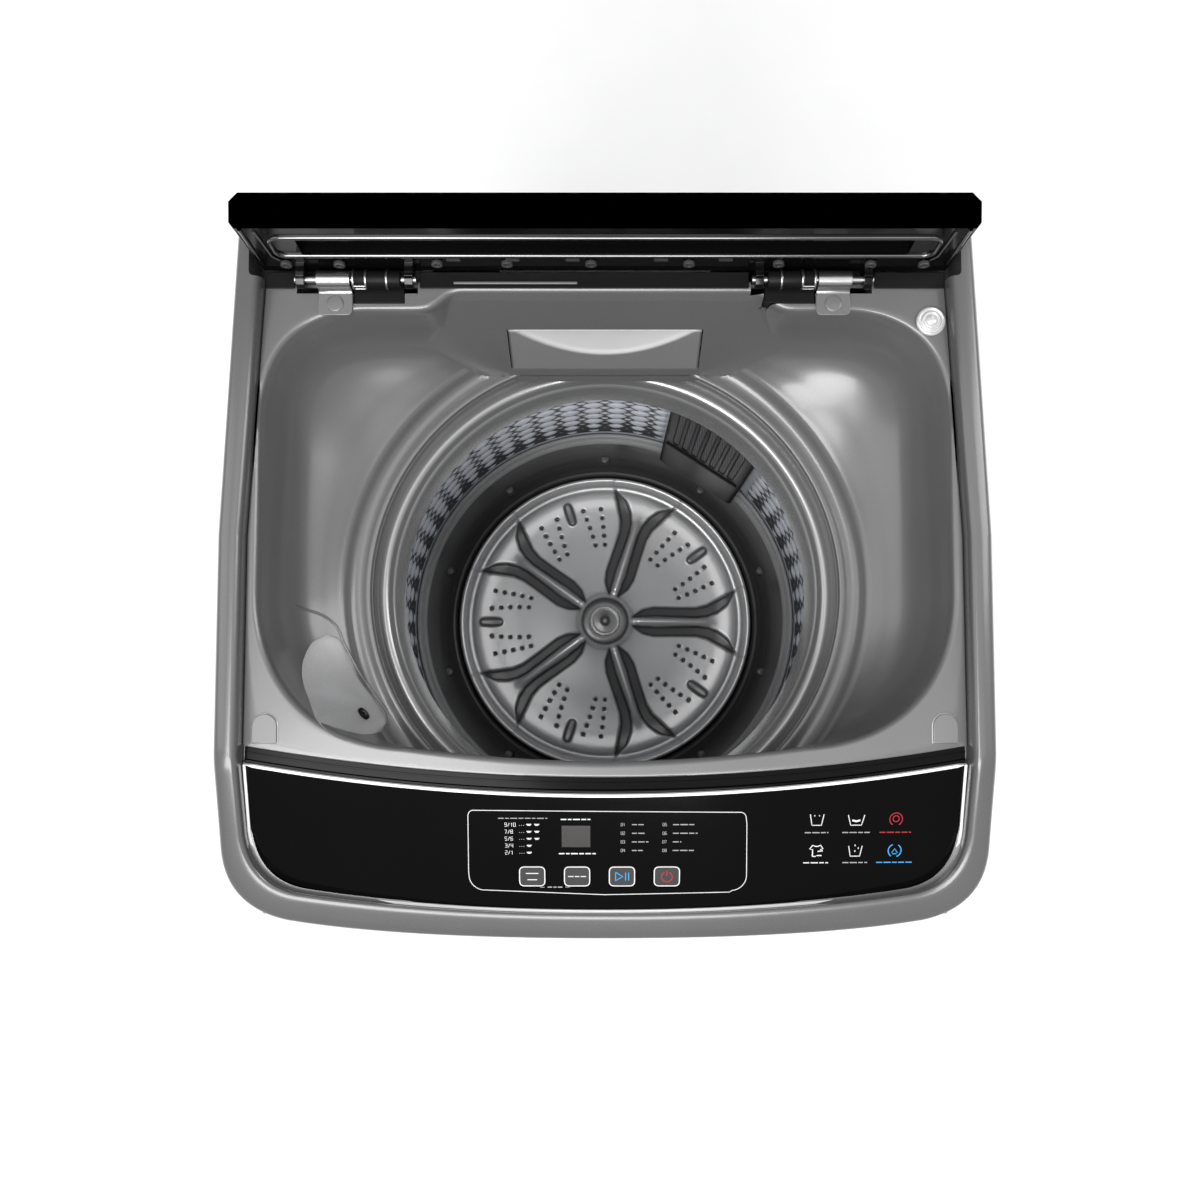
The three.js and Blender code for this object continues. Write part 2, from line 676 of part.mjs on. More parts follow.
function detergentDrawer() {
  const low = DRAWER_LOW;
  const high = DRAWER_HIGH;
  const back = 238;
  const side = [[rearWallY(low), low], [back, low], [back, high], [rearWallY(high), high]];
  const outside = bar(side, -DRAWER_HALF, DRAWER_HALF);
  const innerHalf = DRAWER_HALF - 2.5;
  const floor = low + 3;
  const top = high + 10;
  const frontThick = 6;
  const hollow = [
    [rearWallY(floor) + frontThick, floor], [back - 3, floor],
    [back - 3, top], [rearWallY(top) + frontThick, top],
  ];
  const face = rearWallY(high);
  const scoop = bar([[face - 6, high + 3], [face + 3, high + 3], [face - 9, 838]], -60, 60);
  return cut(outside, bar(hollow, -innerHalf, innerHalf), scoop);
}

function inletValve() {
  const body = box(VALVE_X - 20, VALVE_X + 20, 228, 261, 855, 878);
  const thread = postY(10.5, 260, 272, VALVE_X, 866);
  const outlet = postX(6, 80.4, 132, 238, 862);
  return cut(join(body, thread, outlet), postY(7, 264, 280, VALVE_X, 866));
}

// A round fitting along Y, turned about its own axis and set in the rear panel.
function rearFitting(profile, x, z) {
  const points = profile.map(([radius, height]) => new THREE.Vector2(radius, height));
  points.push(points[0].clone());
  const geometry = new THREE.LatheGeometry(points, SMALL);
  geometry.translate(x, 0, z);
  return toSolid(geometry);
}

function drainOutlet() {
  const profile = [
    [11, 247], [14, 247], [17, 250], [17, 258.3], [24, 258.3], [24, 261],
    [14, 261], [14, 272], [11, 272],
  ];
  return rearFitting(profile, -200, 120);
}

function cordGland() {
  const profile = [
    [4, 250], [12, 250], [12, 255.6], [9, 255.6],
    [9, 258.3], [14, 258.3], [11, 267], [4, 267],
  ];
  return rearFitting(profile, 200, 150);
}

function pressureSwitch() {
  const body = postY(19, 226, 250, -150, 861);
  return join(body, postZ(3, 832, 846, -150, 238));
}

place(machine, 'inlet_box', inletBox(), 'whitePlastic');
place(machine, 'detergent_drawer', detergentDrawer(), 'greyPlastic');
place(machine, 'inlet_valve', inletValve(), 'whitePlastic');
place(machine, 'drain_outlet', drainOutlet(), 'blackPlastic');
place(machine, 'cord_gland', cordGland(), 'blackPlastic');
place(machine, 'pressure_switch', pressureSwitch(), 'whitePlastic');

// ---------------------------------------------------------------- suspension
function suspensionRod([, x, y]) {
  const seat = GUSSET_Z + 2.5 + GAP;
  const profile = [
    [0, 226], [6, 226], [6, 232], [16, 232], [16, 238.5], [ROD_RADIUS, 238.5],
    [ROD_RADIUS, seat], [10, seat], [7, seat + 8], [0, seat + 10],
  ];
  return turned(profile, 12, x, y);
}

class Helix extends THREE.Curve {
  constructor(radius, turns, z0, z1) {
    super();
    Object.assign(this, { radius, turns, z0, z1 });
  }

  getPoint(t) {
    const angle = t * this.turns * 2 * Math.PI;
    const z = this.z0 + t * (this.z1 - this.z0);
    return new THREE.Vector3(this.radius * Math.cos(angle), this.radius * Math.sin(angle), z);
  }
}

function suspensionSpring([, x, y]) {
  const wire = 2;
  const path = new Helix(11, 4, SPRING_LOW + wire, LUG_LOW - GAP - wire);
  const section = new THREE.Shape().absarc(0, 0, wire, 0, 2 * Math.PI);
  const geometry = new THREE.ExtrudeGeometry(section, { steps: 28, extrudePath: path, curveSegments: 2 });
  geometry.translate(x, y, 0);
  return toSolid(geometry);
}

rodPlaces().forEach((corner) => {
  place(machine, `suspension_rod_${corner[0]}`, suspensionRod(corner), 'steel');
  place(tub, `suspension_spring_${corner[0]}`, suspensionSpring(corner), 'steel');
});

// ---------------------------------------------------------------- tub and drive
function tubLug([, x, y]) {
  const reach = Math.hypot(x, y - SPIN_Y);
  const angle = Math.atan2(y - SPIN_Y, x);
  const geometry = new THREE.BoxGeometry(reach - TUB_RADIUS + 4, 44, LUG_HIGH - LUG_LOW);
  geometry.translate((reach + TUB_RADIUS) / 2 - 2, 0, (LUG_HIGH + LUG_LOW) / 2);
  geometry.rotateZ(angle);
  geometry.translate(0, SPIN_Y, 0);
  return join(toSolid(geometry), postZ(22, LUG_LOW, LUG_HIGH, x, y));
}

function outerTub() {
  const outside = TUB_RADIUS;
  const inside = TUB_RADIUS - 3;
  const profile = [
    [20, TUB_BOTTOM], [outside - 12, TUB_BOTTOM], [outside, TUB_BOTTOM + 12], [outside, TUB_TOP],
    [inside, TUB_TOP], [inside, TUB_BOTTOM + 14], [inside - 10, TUB_BOTTOM + 5], [20, TUB_BOTTOM + 5],
  ];
  const shell = turned(profile, FINE, 0, SPIN_Y);
  const rodHoles = rodPlaces().map(([, x, y]) => postZ(6, LUG_LOW - 5, LUG_HIGH + 5, x, y));
  const airSpigot = postY(3.2, 172, 204, -150, 290);
  const drainPort = postZ(14, TUB_BOTTOM - 5, TUB_BOTTOM + 10, -95, 95);
  return cut(join(shell, ...rodPlaces().map(tubLug), airSpigot), ...rodHoles, drainPort);
}

function tubRingCover() {
  const rim = TUB_RADIUS + GAP;
  const profile = [
    [rim, 730], [rim + 2.7, 730], [rim + 2.7, 786], [192, 786], [190, 782], [193, 782],
    [rim - 4, 782], [rim, 778],
  ];
  return turned(profile, FINE, 0, SPIN_Y);
}

function gearbox() {
  const profile = [
    [8.4, 128], [20, 128], [20, 150], [58, 155], [58, 246], [74, 246], [74, 253.4],
    [16.4, 253.4], [16.4, 242], [50, 240], [50, 160], [8.4, 156],
  ];
  return turned(profile, PLAIN, 0, SPIN_Y);
}

function driveBracket() {
  const low = 253.7;
  const plate = box(-85, 226, SPIN_Y - 62, SPIN_Y + 62, low, low + 3);
  const flanges = [-62, 60].map((dy) => box(-85, 226, SPIN_Y + dy, SPIN_Y + dy + 2, low - 12, low + 1));
  const clearMotor = postZ(72, low - 20, low - GAP, MOTOR_X, SPIN_Y, PLAIN);
  const clearGearbox = postZ(76, low - 20, low - GAP, 0, SPIN_Y, PLAIN);
  return cut(join(plate, ...flanges), clearMotor, clearGearbox, postZ(22, low - 5, low + 8, 0, SPIN_Y));
}

function motor() {
  const profile = [
    [0, 182], [6.4, 182], [6.4, 150], [15, 150], [15, 163], [50, 165], [58, 172], [58, 238], [50, 246],
    [70, 247], [70, 253.4], [0, 253.4],
  ];
  return turned(profile, PLAIN, MOTOR_X, SPIN_Y);
}

function beltLoop(big, small) {
  const turn = Math.acos((big - small) / MOTOR_X);
  const shape = new THREE.Shape();
  shape.absarc(MOTOR_X, SPIN_Y, small, -turn, turn);
  shape.absarc(0, SPIN_Y, big, turn, 2 * Math.PI - turn);
  return shape;
}

function driveBelt() {
  const loop = (grow) => beltLoop(BIG_GROOVE + GAP + grow, SMALL_GROOVE + GAP + grow);
  const outside = extruded(loop(BELT_THICK), BELT_LOW, BELT_HIGH);
  return cut(outside, extruded(loop(0), BELT_LOW - 2, BELT_HIGH + 2));
}

function drainValve() {
  const body = postZ(21, 205, TUB_BOTTOM - GAP, -95, 95);
  const outlet = postY(13, 95, 150, -95, 222);
  const actuator = box(-150, -100, 84, 106, 232, 250);
  return cut(join(body, outlet, actuator), postZ(12, 215, TUB_BOTTOM + 5, -95, 95));
}

function drainHose() {
  const route = [
    [-95, 150.6, 222], [-95, 172, 222], [-118, 200, 195], [-165, 210, 148], [-198, 218, 121],
    [-200, 232, 120], [-200, 246, 120],
  ];
  return hose(route, 13, 4, 14);
}

function airHose() {
  const route = [
    [-150, 204.5, 290], [-150, 226, 293], [-150, 241, 330], [-150, 243, 500], [-150, 241, 740],
    [-150, 238, 790], [-150, 238, 831.3],
  ];
  return hose(route, 3.5, 3, 14);
}

place(tub, 'outer_tub', outerTub(), 'whitePlastic');
place(tub, 'tub_ring_cover', tubRingCover(), 'whitePlastic');
place(tub, 'gearbox', gearbox(), 'castAluminium');
place(tub, 'drive_bracket', driveBracket(), 'galvanised');
place(tub, 'motor', motor(), 'steel');
place(tub, 'drive_belt', driveBelt(), 'rubber');
place(tub, 'drain_valve', drainValve(), 'whitePlastic');
place(tub, 'drain_hose', drainHose(), 'rubber');
place(tub, 'air_hose', airHose(), 'rubber');

function pulley(groove, bore, x, shaftTop) {
  const flange = groove + BELT_THICK;
  const profile = [
    [0, 98], [bore + 8, 98], [bore + 8, 102], [flange, 102], [flange, 104], [groove, BELT_LOW - GAP],
    [groove, BELT_HIGH + GAP], [flange, 119], [flange, 121], [bore, 121], [bore, shaftTop], [0, shaftTop],
  ];
  return turned(profile, PLAIN, x, SPIN_Y);
}

place(tub, 'drive_pulley', pulley(BIG_GROOVE, 8, 0, 158), 'castAluminium');
place(tub, 'motor_pulley', pulley(SMALL_GROOVE, 6, MOTOR_X, 178), 'castAluminium');

// ---------------------------------------------------------------- basket
function basketWall() {
  const inside = BASKET_RADIUS - SHEET;
  const profile = [
    [inside, BASKET_LOW], [BASKET_RADIUS, BASKET_LOW],
    [BASKET_RADIUS, BASKET_HIGH], [inside, BASKET_HIGH],
  ];
  return turned(profile, FINE, 0, SPIN_Y);
}

function basketFloor() {
  const rim = BASKET_RADIUS - SHEET - 0.9;
  const profile = [
    [17, 300.6], [150, 300.6], [182, 306], [rim, 366], [rim, 386], [208, 386], [176, 319],
    [172.8, 305], [17, 304.6],
  ];
  return turned(profile, FINE, 0, SPIN_Y);
}

function basketHub() {
  const profile = [[9, 202], [16, 202], [16, 276], [60, 284], [120, 292], [120, 300.2], [9, 300.2]];
  return turned(profile, PLAIN, 0, SPIN_Y);
}

function balanceRing() {
  const low = BASKET_HIGH + GAP;
  const profile = [
    [169, low], [BASKET_RADIUS + 2, low], [BASKET_RADIUS + 2, 770], [210, 776],
    [183, RING_TOP], [177, RING_TOP], [174.5, RING_TOP - 3],
  ];
  return turned(profile, FINE, 0, SPIN_Y);
}

function lintFilter() {
  const half = 48;
  const body = box(184, BASKET_RADIUS, -half, half, 402, 727);
  const curved = body.intersect(postZ(BASKET_RADIUS - SHEET - 1.6, 395, 735, 0, 0, FINE));
  return cut(curved, box(188, 230, -half + 5, half - 5, 410, 719));
}

place(tub, 'basket_wall', basketWall(), 'steel');
place(tub, 'basket_floor', basketFloor(), 'charcoal');
place(tub, 'basket_hub', basketHub(), 'castAluminium');
place(tub, 'balance_ring', balanceRing(), 'ringPlastic');
const filter = place(tub, 'lint_filter', lintFilter(), 'blackPlastic');
filter.position.set(0, SPIN_Y, 0);
filter.rotation.z = THREE.MathUtils.degToRad(57);

// ---------------------------------------------------------------- pulsator
function pulsatorRib(i) {
  const geometry = new THREE.ExtrudeGeometry(
    polygon([[24, 320], [124, 320], [123, 333], [60, 345], [24, 349]]),
    { depth: 14, bevelEnabled: false },
  );
  geometry.translate(0, 0, -7);
  geometry.rotateX(Math.PI / 2);
  geometry.rotateZ((i * 2 * Math.PI) / 5);
  return toSolid(geometry);
}

function pulsatorBody() {
  const profile = [
    [8.8, PULSATOR_BOTTOM], [158, PULSATOR_BOTTOM], [PULSATOR_RADIUS, 318], [PULSATOR_RADIUS, 329],
    [168, 332], [163, 328], [153, 322], [100, 328], [34, 338], [28, 350],
    [17.6, 352], [17.6, 346.2], [8.8, 346.2],
  ];
  const ribs = [0, 1, 2, 3, 4].map(pulsatorRib);
  return join(turned(profile, FINE), ...ribs);
}

function pulsatorCap() {
  return turned([[0, 346.6], [17.2, 346.6], [17.2, 353], [12, 355], [8, 357.5], [0, 358.5]], PLAIN);
}

function pulsatorShaft() {
  return turned([[0, 166], [32, 166], [32, 176], [8.5, 176], [8.5, 346], [0, 346]], SMALL);
}

[['pulsator', pulsatorBody(), 'silverPlastic'],
  ['pulsator_cap', pulsatorCap(), 'silverPlastic'],
  ['pulsator_shaft', pulsatorShaft(), 'steel']].forEach(([name, solid, look]) => {
  place(tub, name, solid, look).position.set(0, SPIN_Y, 0);
});

// ---------------------------------------------------------------- lid
// The lid's pieces are drawn closed, from the hinge axis, and the group is turned open.
function lidOutline(inset) {
  const half = LID_HALF - inset;
  const front = LID_FRONT + inset;
  const back = LID_TAIL - inset;
  const corner = 12;
  const shape = new THREE.Shape();
  shape.moveTo(0, front);
  shape.quadraticCurveTo(half * 0.5, front, half - corner, front + CONSOLE_BOW);
  shape.quadraticCurveTo(half, front + CONSOLE_BOW + 2, half, front + CONSOLE_BOW + corner);
  shape.lineTo(half - 2, front + 200);
  shape.lineTo(half - TAPER, back);
  shape.lineTo(-half + TAPER, back);
  shape.lineTo(-half + 2, front + 200);
  shape.lineTo(-half, front + CONSOLE_BOW + corner);
  shape.quadraticCurveTo(-half, front + CONSOLE_BOW + 2, -half + corner, front + CONSOLE_BOW);
  shape.quadraticCurveTo(-half * 0.5, front, 0, front);
  return shape;
}

function windowOutline(inset) {
  const half = 206 - inset;
  const near = -78 - inset;
  const far = -324 + inset;
  const chamfer = 26;
  return polygon([
    [-half + chamfer, far], [half - chamfer, far], [half, far + chamfer], [half, near - chamfer],
    [half - chamfer, near], [-half + chamfer, near], [-half, near - chamfer], [-half, far + chamfer],
  ]);
}

function lidLug([x0, x1]) {
  const eye = postX(7, x0, x1, 0, 0);
  return cut(join(eye, box(x0, x1, -7, 7, 0, LID_LOW + 2)), postX(HINGE_BORE, x0 - 3, x1 + 3, 0, 0));
}

function lidFrame() {
  const levels = [[LID_LOW, 3], [LID_LOW + 4, 0], [LID_HIGH - 6, 0], [LID_HIGH, 6]];
  const slab = loft(levels.map(([z, inset]) => levelRing(lidOutline(inset), z)));
  const opening = extruded(windowOutline(9), LID_LOW - 5, LID_HIGH + 5);
  const rebate = extruded(windowOutline(0), LID_HIGH - 5, LID_HIGH + 5);
  const pocket = (x0, x1, y0, y1) => box(x0, x1, y0, y1, LID_LOW - 5, LID_LOW + 11);
  const channel = pocket(-214, 214, -46, -20);
  const frontPocket = pocket(-200, 200, -352, -336);
  const sidePockets = [pocket(-248, -216, -316, -70), pocket(216, 248, -316, -70)];
  const frame = cut(slab, opening, rebate, channel, frontPocket, ...sidePockets);
  return join(frame, ...HINGES.flatMap(({ lugs }) => lugs.map(lidLug)));
}

function lidWindow() {
  return extruded(windowOutline(0.5), LID_HIGH - 4.6, LID_HIGH - 0.6);
}

lid.position.set(0, HINGE_Y, HINGE_Z);
lid.rotation.x = -LID_OPEN;
place(lid, 'lid_frame', lidFrame(), 'lid');
place(lid, 'lid_window', lidWindow(), 'glass');
HINGES.forEach(({ side, lugs: [first, last] }) => {
  place(lid, `lid_pin_${side}`, postX(HINGE_BORE - GAP, first[0] - 2, last[1] + 2, 0, 0), 'steel');
});

export default machine;
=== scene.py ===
"""Looks of a top-loading washing machine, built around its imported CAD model.

Lengths in this file are millimetres in the CAD frame and are turned to metres as each mesh is made.
"""
import json
import math

import bmesh
import bpy
import numpy as np
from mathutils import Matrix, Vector
from mathutils.bvhtree import BVHTree

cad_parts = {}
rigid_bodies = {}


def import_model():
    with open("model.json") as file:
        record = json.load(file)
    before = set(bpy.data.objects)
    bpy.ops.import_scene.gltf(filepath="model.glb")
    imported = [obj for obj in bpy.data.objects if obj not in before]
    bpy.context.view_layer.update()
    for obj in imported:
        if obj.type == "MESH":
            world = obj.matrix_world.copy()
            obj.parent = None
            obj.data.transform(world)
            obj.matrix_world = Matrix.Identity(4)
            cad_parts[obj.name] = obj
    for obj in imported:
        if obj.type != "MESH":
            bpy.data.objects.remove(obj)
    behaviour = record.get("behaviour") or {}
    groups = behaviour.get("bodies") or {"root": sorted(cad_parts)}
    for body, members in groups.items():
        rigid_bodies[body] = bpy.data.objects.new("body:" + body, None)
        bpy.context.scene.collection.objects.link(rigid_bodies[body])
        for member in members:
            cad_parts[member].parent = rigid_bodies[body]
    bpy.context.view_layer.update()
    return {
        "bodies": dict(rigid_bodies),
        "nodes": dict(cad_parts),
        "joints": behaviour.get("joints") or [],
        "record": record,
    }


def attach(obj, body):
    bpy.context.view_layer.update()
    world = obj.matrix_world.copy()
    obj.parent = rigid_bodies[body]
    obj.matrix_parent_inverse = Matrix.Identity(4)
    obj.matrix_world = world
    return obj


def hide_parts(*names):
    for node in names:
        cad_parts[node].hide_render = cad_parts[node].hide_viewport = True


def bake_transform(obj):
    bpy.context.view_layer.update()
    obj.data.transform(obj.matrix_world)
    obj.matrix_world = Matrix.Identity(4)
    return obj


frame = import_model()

MM = 0.001  # metres
SPIN_Y = -10  # where the basket's upright axis stands
DECK_TOP = 905
CONSOLE_TOP_Y = -163  # the control panel's upper edge, in the middle
CONSOLE_BOW = 23  # the upper edge lies this much further back near its ends
TILT = math.radians(20)  # of the control panel
HINGE_Y = 206
HINGE_Z = 912
LID_OPEN = math.radians(95)
DECK_FRONT = 12.0  # the deck ends this far behind the control panel's upper edge
EDGE_RADIUS = 4.5  # of the deck's edge over the bowl
SENSOR = 36
LENS = 36.87
SIDE_SHIFT = -0.0041667  # in widths of the picture
NEAR_CLIP = 0.829  # metres
EYE = (0, -0.088, 1.78)  # metres
EYE_TILT = math.radians(4.1)
FLOOR_HALF = 12000
WORLD_LIGHT = 0.55
LIGHTS_AIM = Vector((0, 0, 0.75))  # metres
BUTTON_PITCH = 32.3
FIRST_BUTTON_X = -52.4
BUTTON_Y = -223.0
HINGE_SIDES = (  # side, strap from and to, spring box from and to, direction from the strap to the box
    ("left", (-208, -183), (-182.4, -146), 1),
    ("right", (153, 178), (116, 152.4), -1),
)


# ------------------------------------------------------------------ materials
def finish(
    name, colour, rough, metal=0.0, specular=0.5, coat=0.0, grain=900, relief=0.02,
    spread=0.05, cloud=9, brushed=None, shade=False,
):
    """A moulded, painted or rolled surface: slow changes of tone, fine grain in gloss and relief.

    brushed gives the stretch of the grain along x, y and z. shade multiplies the colour by the mesh's
    own attribute of that name.
    """
    look = bpy.data.materials.new(name)
    look.use_nodes = True
    nodes = look.node_tree.nodes
    link = look.node_tree.links.new
    surface = nodes["Principled BSDF"]
    place = nodes.new("ShaderNodeTexCoord")
    slow = nodes.new("ShaderNodeTexNoise")
    slow.inputs["Scale"].default_value = cloud
    slow.inputs["Detail"].default_value = 3
    link(place.outputs["Object"], slow.inputs["Vector"])
    tone = nodes.new("ShaderNodeValToRGB")
    tone.color_ramp.elements[0].position = 0.3
    tone.color_ramp.elements[1].position = 0.7
    tone.color_ramp.elements[0].color = [c * (1 - spread) for c in colour] + [1]
    tone.color_ramp.elements[1].color = [min(1, c * (1 + spread)) for c in colour] + [1]
    link(slow.outputs["Fac"], tone.inputs["Fac"])
    fine = nodes.new("ShaderNodeTexNoise")
    fine.inputs["Scale"].default_value = grain
    fine.inputs["Detail"].default_value = 2
    if brushed:
        stretch = nodes.new("ShaderNodeMapping")
        stretch.inputs["Scale"].default_value = brushed
        link(place.outputs["Object"], stretch.inputs["Vector"])
        link(stretch.outputs["Vector"], fine.inputs["Vector"])
    else:
        link(place.outputs["Object"], fine.inputs["Vector"])
    gloss = nodes.new("ShaderNodeMapRange")
    gloss.inputs["To Min"].default_value = rough * 0.85
    gloss.inputs["To Max"].default_value = min(1, rough * 1.15)
    link(fine.outputs["Fac"], gloss.inputs["Value"])
    link(gloss.outputs["Result"], surface.inputs["Roughness"])
    bump = nodes.new("ShaderNodeBump")
    bump.inputs["Strength"].default_value = relief
    bump.inputs["Distance"].default_value = 0.0004
    link(fine.outputs["Fac"], bump.inputs["Height"])
    link(bump.outputs["Normal"], surface.inputs["Normal"])
    if shade:
        mask = nodes.new("ShaderNodeAttribute")
        mask.attribute_name = "shade"
        mix = nodes.new("ShaderNodeMix")
        mix.data_type = "RGBA"
        mix.blend_type = "MULTIPLY"
        mix.inputs[0].default_value = 1
        link(tone.outputs["Color"], mix.inputs[6])
        link(mask.outputs["Color"], mix.inputs[7])
        link(mix.outputs[2], surface.inputs["Base Color"])
    else:
        link(tone.outputs["Color"], surface.inputs["Base Color"])
    surface.inputs["Metallic"].default_value = metal
    surface.inputs["Specular IOR Level"].default_value = specular
    surface.inputs["Coat Weight"].default_value = coat
    surface.inputs["Coat Roughness"].default_value = 0.12
    return look


def grey(value, warm=0.0):
    """A linear grey, slightly warm or cool."""
    return (value * (1 + warm), value, value * (1 - warm))


def smoked_glass():
    look = finish("smoked_glass", grey(0.012), 0.06, specular=0.5, grain=120, relief=0.004)
    surface = look.node_tree.nodes["Principled BSDF"]
    surface.inputs["Transmission Weight"].default_value = 0.75
    surface.inputs["IOR"].default_value = 1.5
    return look


def woven_mesh():
    """Fine filter cloth: a diagonal weave of light threads over dark gaps."""
    look = finish("filter_mesh", grey(0.10), 0.6, grain=600, relief=0.1)
    nodes = look.node_tree.nodes
    link = look.node_tree.links.new
    surface = nodes["Principled BSDF"]
    place = nodes["Texture Coordinate"]
    turn = nodes.new("ShaderNodeMapping")
    turn.inputs["Rotation"].default_value = (0.6, 0.7, 0.785)
    link(place.outputs["Object"], turn.inputs["Vector"])
    weave = nodes.new("ShaderNodeTexChecker")
    weave.inputs["Scale"].default_value = 520
    weave.inputs["Color1"].default_value = (0.15, 0.15, 0.155, 1)
    weave.inputs["Color2"].default_value = (0.015, 0.015, 0.016, 1)
    link(turn.outputs["Vector"], weave.inputs["Vector"])
    link(weave.outputs["Color"], surface.inputs["Base Color"])
    return look


def ink(name, colour):
    """Screen-printed ink: matt, with the slight mottling of print."""
    return finish(name, colour, 0.55, specular=0.2, grain=1500, relief=0.03, spread=0.08, cloud=60)


LOOKS = {}


def add_look(name, colour, rough, **more):
    """Keeps a finish in LOOKS under its own name."""
    LOOKS[name] = finish(name, colour, rough, **more)


add_look("cabinet_paint", grey(0.12), 0.36, specular=0.5, coat=0.25, grain=420, relief=0.06)
add_look(
    "galvanised_steel", grey(0.50, -0.02), 0.40, metal=1, grain=160, relief=0.04, spread=0.09, cloud=38,
)
add_look("black_plastic", grey(0.006), 0.42, specular=0.14, grain=1100, relief=0.10, spread=0.15)
add_look("rubber", grey(0.02), 0.75, specular=0.3, grain=700, relief=0.25, spread=0.2)
add_look("cover_plastic", grey(0.105), 0.26, metal=0.2, coat=0.35, grain=1500, relief=0.02)
add_look("deck_plastic", grey(0.14), 0.29, metal=0.25, coat=0.3, grain=1600, relief=0.015)
add_look("drawer_plastic", grey(0.55), 0.30, metal=0.1, coat=0.2, grain=1600, relief=0.015, shade=True)
add_look("silver_plastic", grey(0.62), 0.26, metal=0.35, coat=0.3, grain=1500, relief=0.02)
add_look("grey_plastic", grey(0.17), 0.35, metal=0.3, grain=1300, relief=0.04)
add_look("chrome", grey(0.75), 0.10, metal=1, grain=300, relief=0.01)
add_look("chrome_trim", grey(0.86), 0.30, metal=0.1, coat=0.4, grain=300, relief=0.01)
add_look("hinge_steel", grey(0.42), 0.30, metal=1, grain=40, relief=0.06, brushed=(1, 24, 24), cloud=30)
add_look("hinge_cover", grey(0.05), 0.25, grain=900, relief=0.03)
add_look("console_gloss", grey(0.0022), 0.12, specular=0.08, grain=140, relief=0.004, spread=0.1)
add_look("button_plastic", grey(0.026), 0.34, specular=0.3, grain=1400, relief=0.06)
add_look("circuit_board", (0.02, 0.11, 0.05), 0.4, grain=260, relief=0.15, spread=0.2, cloud=120)
add_look("white_plastic", (0.62, 0.62, 0.60), 0.42, grain=900, relief=0.06, spread=0.04)
add_look("tub_plastic", (0.58, 0.58, 0.56), 0.48, grain=500, relief=0.1, spread=0.05)
add_look("cast_aluminium", grey(0.45), 0.5, metal=1, grain=420, relief=0.3, spread=0.1, cloud=40)
add_look("motor_steel", grey(0.06), 0.4, grain=500, relief=0.1, spread=0.1)
add_look("hose_rubber", grey(0.05), 0.6, grain=600, relief=0.15, spread=0.15)
add_look("zinc_steel", (0.60, 0.61, 0.62), 0.34, metal=1, grain=200, relief=0.05, cloud=40)
# Stainless steel: a bright, nearly matt colour stands in for the steel's reflections (painted
# reflection), and the shade attribute adds painted shade between the domes.
add_look(
    "stainless_steel", (0.86, 0.89, 0.97), 0.34, metal=0.05, specular=0.06, grain=70, relief=0.02,
    brushed=(1, 1, 30), cloud=20, shade=True,
)
add_look(
    "charcoal_plastic", grey(0.060), 0.32, specular=0.5, coat=0.2, grain=1000, relief=0.05, spread=0.1,
    shade=True,
)
add_look("ring_plastic", grey(0.30), 0.22, metal=0.5, coat=0.25, grain=1500, relief=0.015)
add_look("pulsator_silver", grey(0.72), 0.30, metal=0.45, coat=0.3, grain=1400, relief=0.02, shade=True)
add_look("lid_gloss", grey(0.004), 0.12, specular=0.35, grain=200, relief=0.006)
# Grey metal in place of the lid's black gloss on its ribs and window bead, so that they show bright
# lines: a painted highlight.
add_look("lid_highlight_metal", grey(0.17), 0.14, metal=1, grain=200, relief=0.006)
LOOKS["smoked_glass"] = smoked_glass()
INKS = {
    "white": ink("ink_white", grey(0.62)),
    "grey": ink("ink_grey", grey(0.30)),
    "red": ink("ink_red", (0.36, 0.02, 0.035)),
    "blue": ink("ink_blue", (0.05, 0.30, 0.62)),
}
FILTER_MESH = woven_mesh()
DISPLAY = finish("display_window", (0.030, 0.026, 0.026), 0.2, grain=500, relief=0.01)


# ------------------------------------------------------------------ making meshes
def face_outwards(mesh):
    clean = bmesh.new()
    clean.from_mesh(mesh)
    bmesh.ops.recalc_face_normals(clean, faces=clean.faces)
    clean.to_mesh(mesh)
    clean.free()


def add_mesh(name, points, faces, look, body, slot, replaces=(), smooth=40, blend=None):
    """One piece from points in millimetres. smooth is the angle over which an edge stays crisp."""
    mesh = bpy.data.meshes.new(name)
    mesh.from_pydata((np.asarray(points, float) * MM).tolist(), [], faces)
    mesh.validate()
    mesh.materials.append(look)
    piece = bpy.data.objects.new(name, mesh)
    bpy.context.scene.collection.objects.link(piece)
    face_outwards(mesh)
    crisp(piece, smooth)
    if blend:
        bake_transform(piece)
    else:
        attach(piece, body)
    if replaces:
        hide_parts(*replaces)
    return piece


def crisp(piece, angle):
    """Smooth shading, with edges sharper than the angle left crisp."""
    mesh = piece.data
    mesh.shade_smooth()
    mesh.set_sharp_from_angle(angle=math.radians(angle))


def bevelled(piece, width, segments=2, angle=30):
    """Rounds the piece's edges by a modifier."""
    step = piece.modifiers.new("rounded_edges", "BEVEL")
    step.width = width * MM
    step.segments = segments
    step.limit_method = "ANGLE"
    step.angle_limit = math.radians(angle)
    step.use_clamp_overlap = True
    return piece


def grid_faces(rows, columns, wrap_rows=False, wrap_columns=False):
    """Quads over a grid of points numbered row by row."""
    r = np.arange(rows if wrap_rows else rows - 1)
    c = np.arange(columns if wrap_columns else columns - 1)
    rr, cc = np.meshgrid(r, c, indexing="ij")
    up, right = (rr + 1) % rows, (cc + 1) % columns
    here, above = rr * columns, up * columns
    quads = np.stack([here + cc, here + right, above + right, above + cc], -1)
    return quads.reshape(-1, 4).tolist()


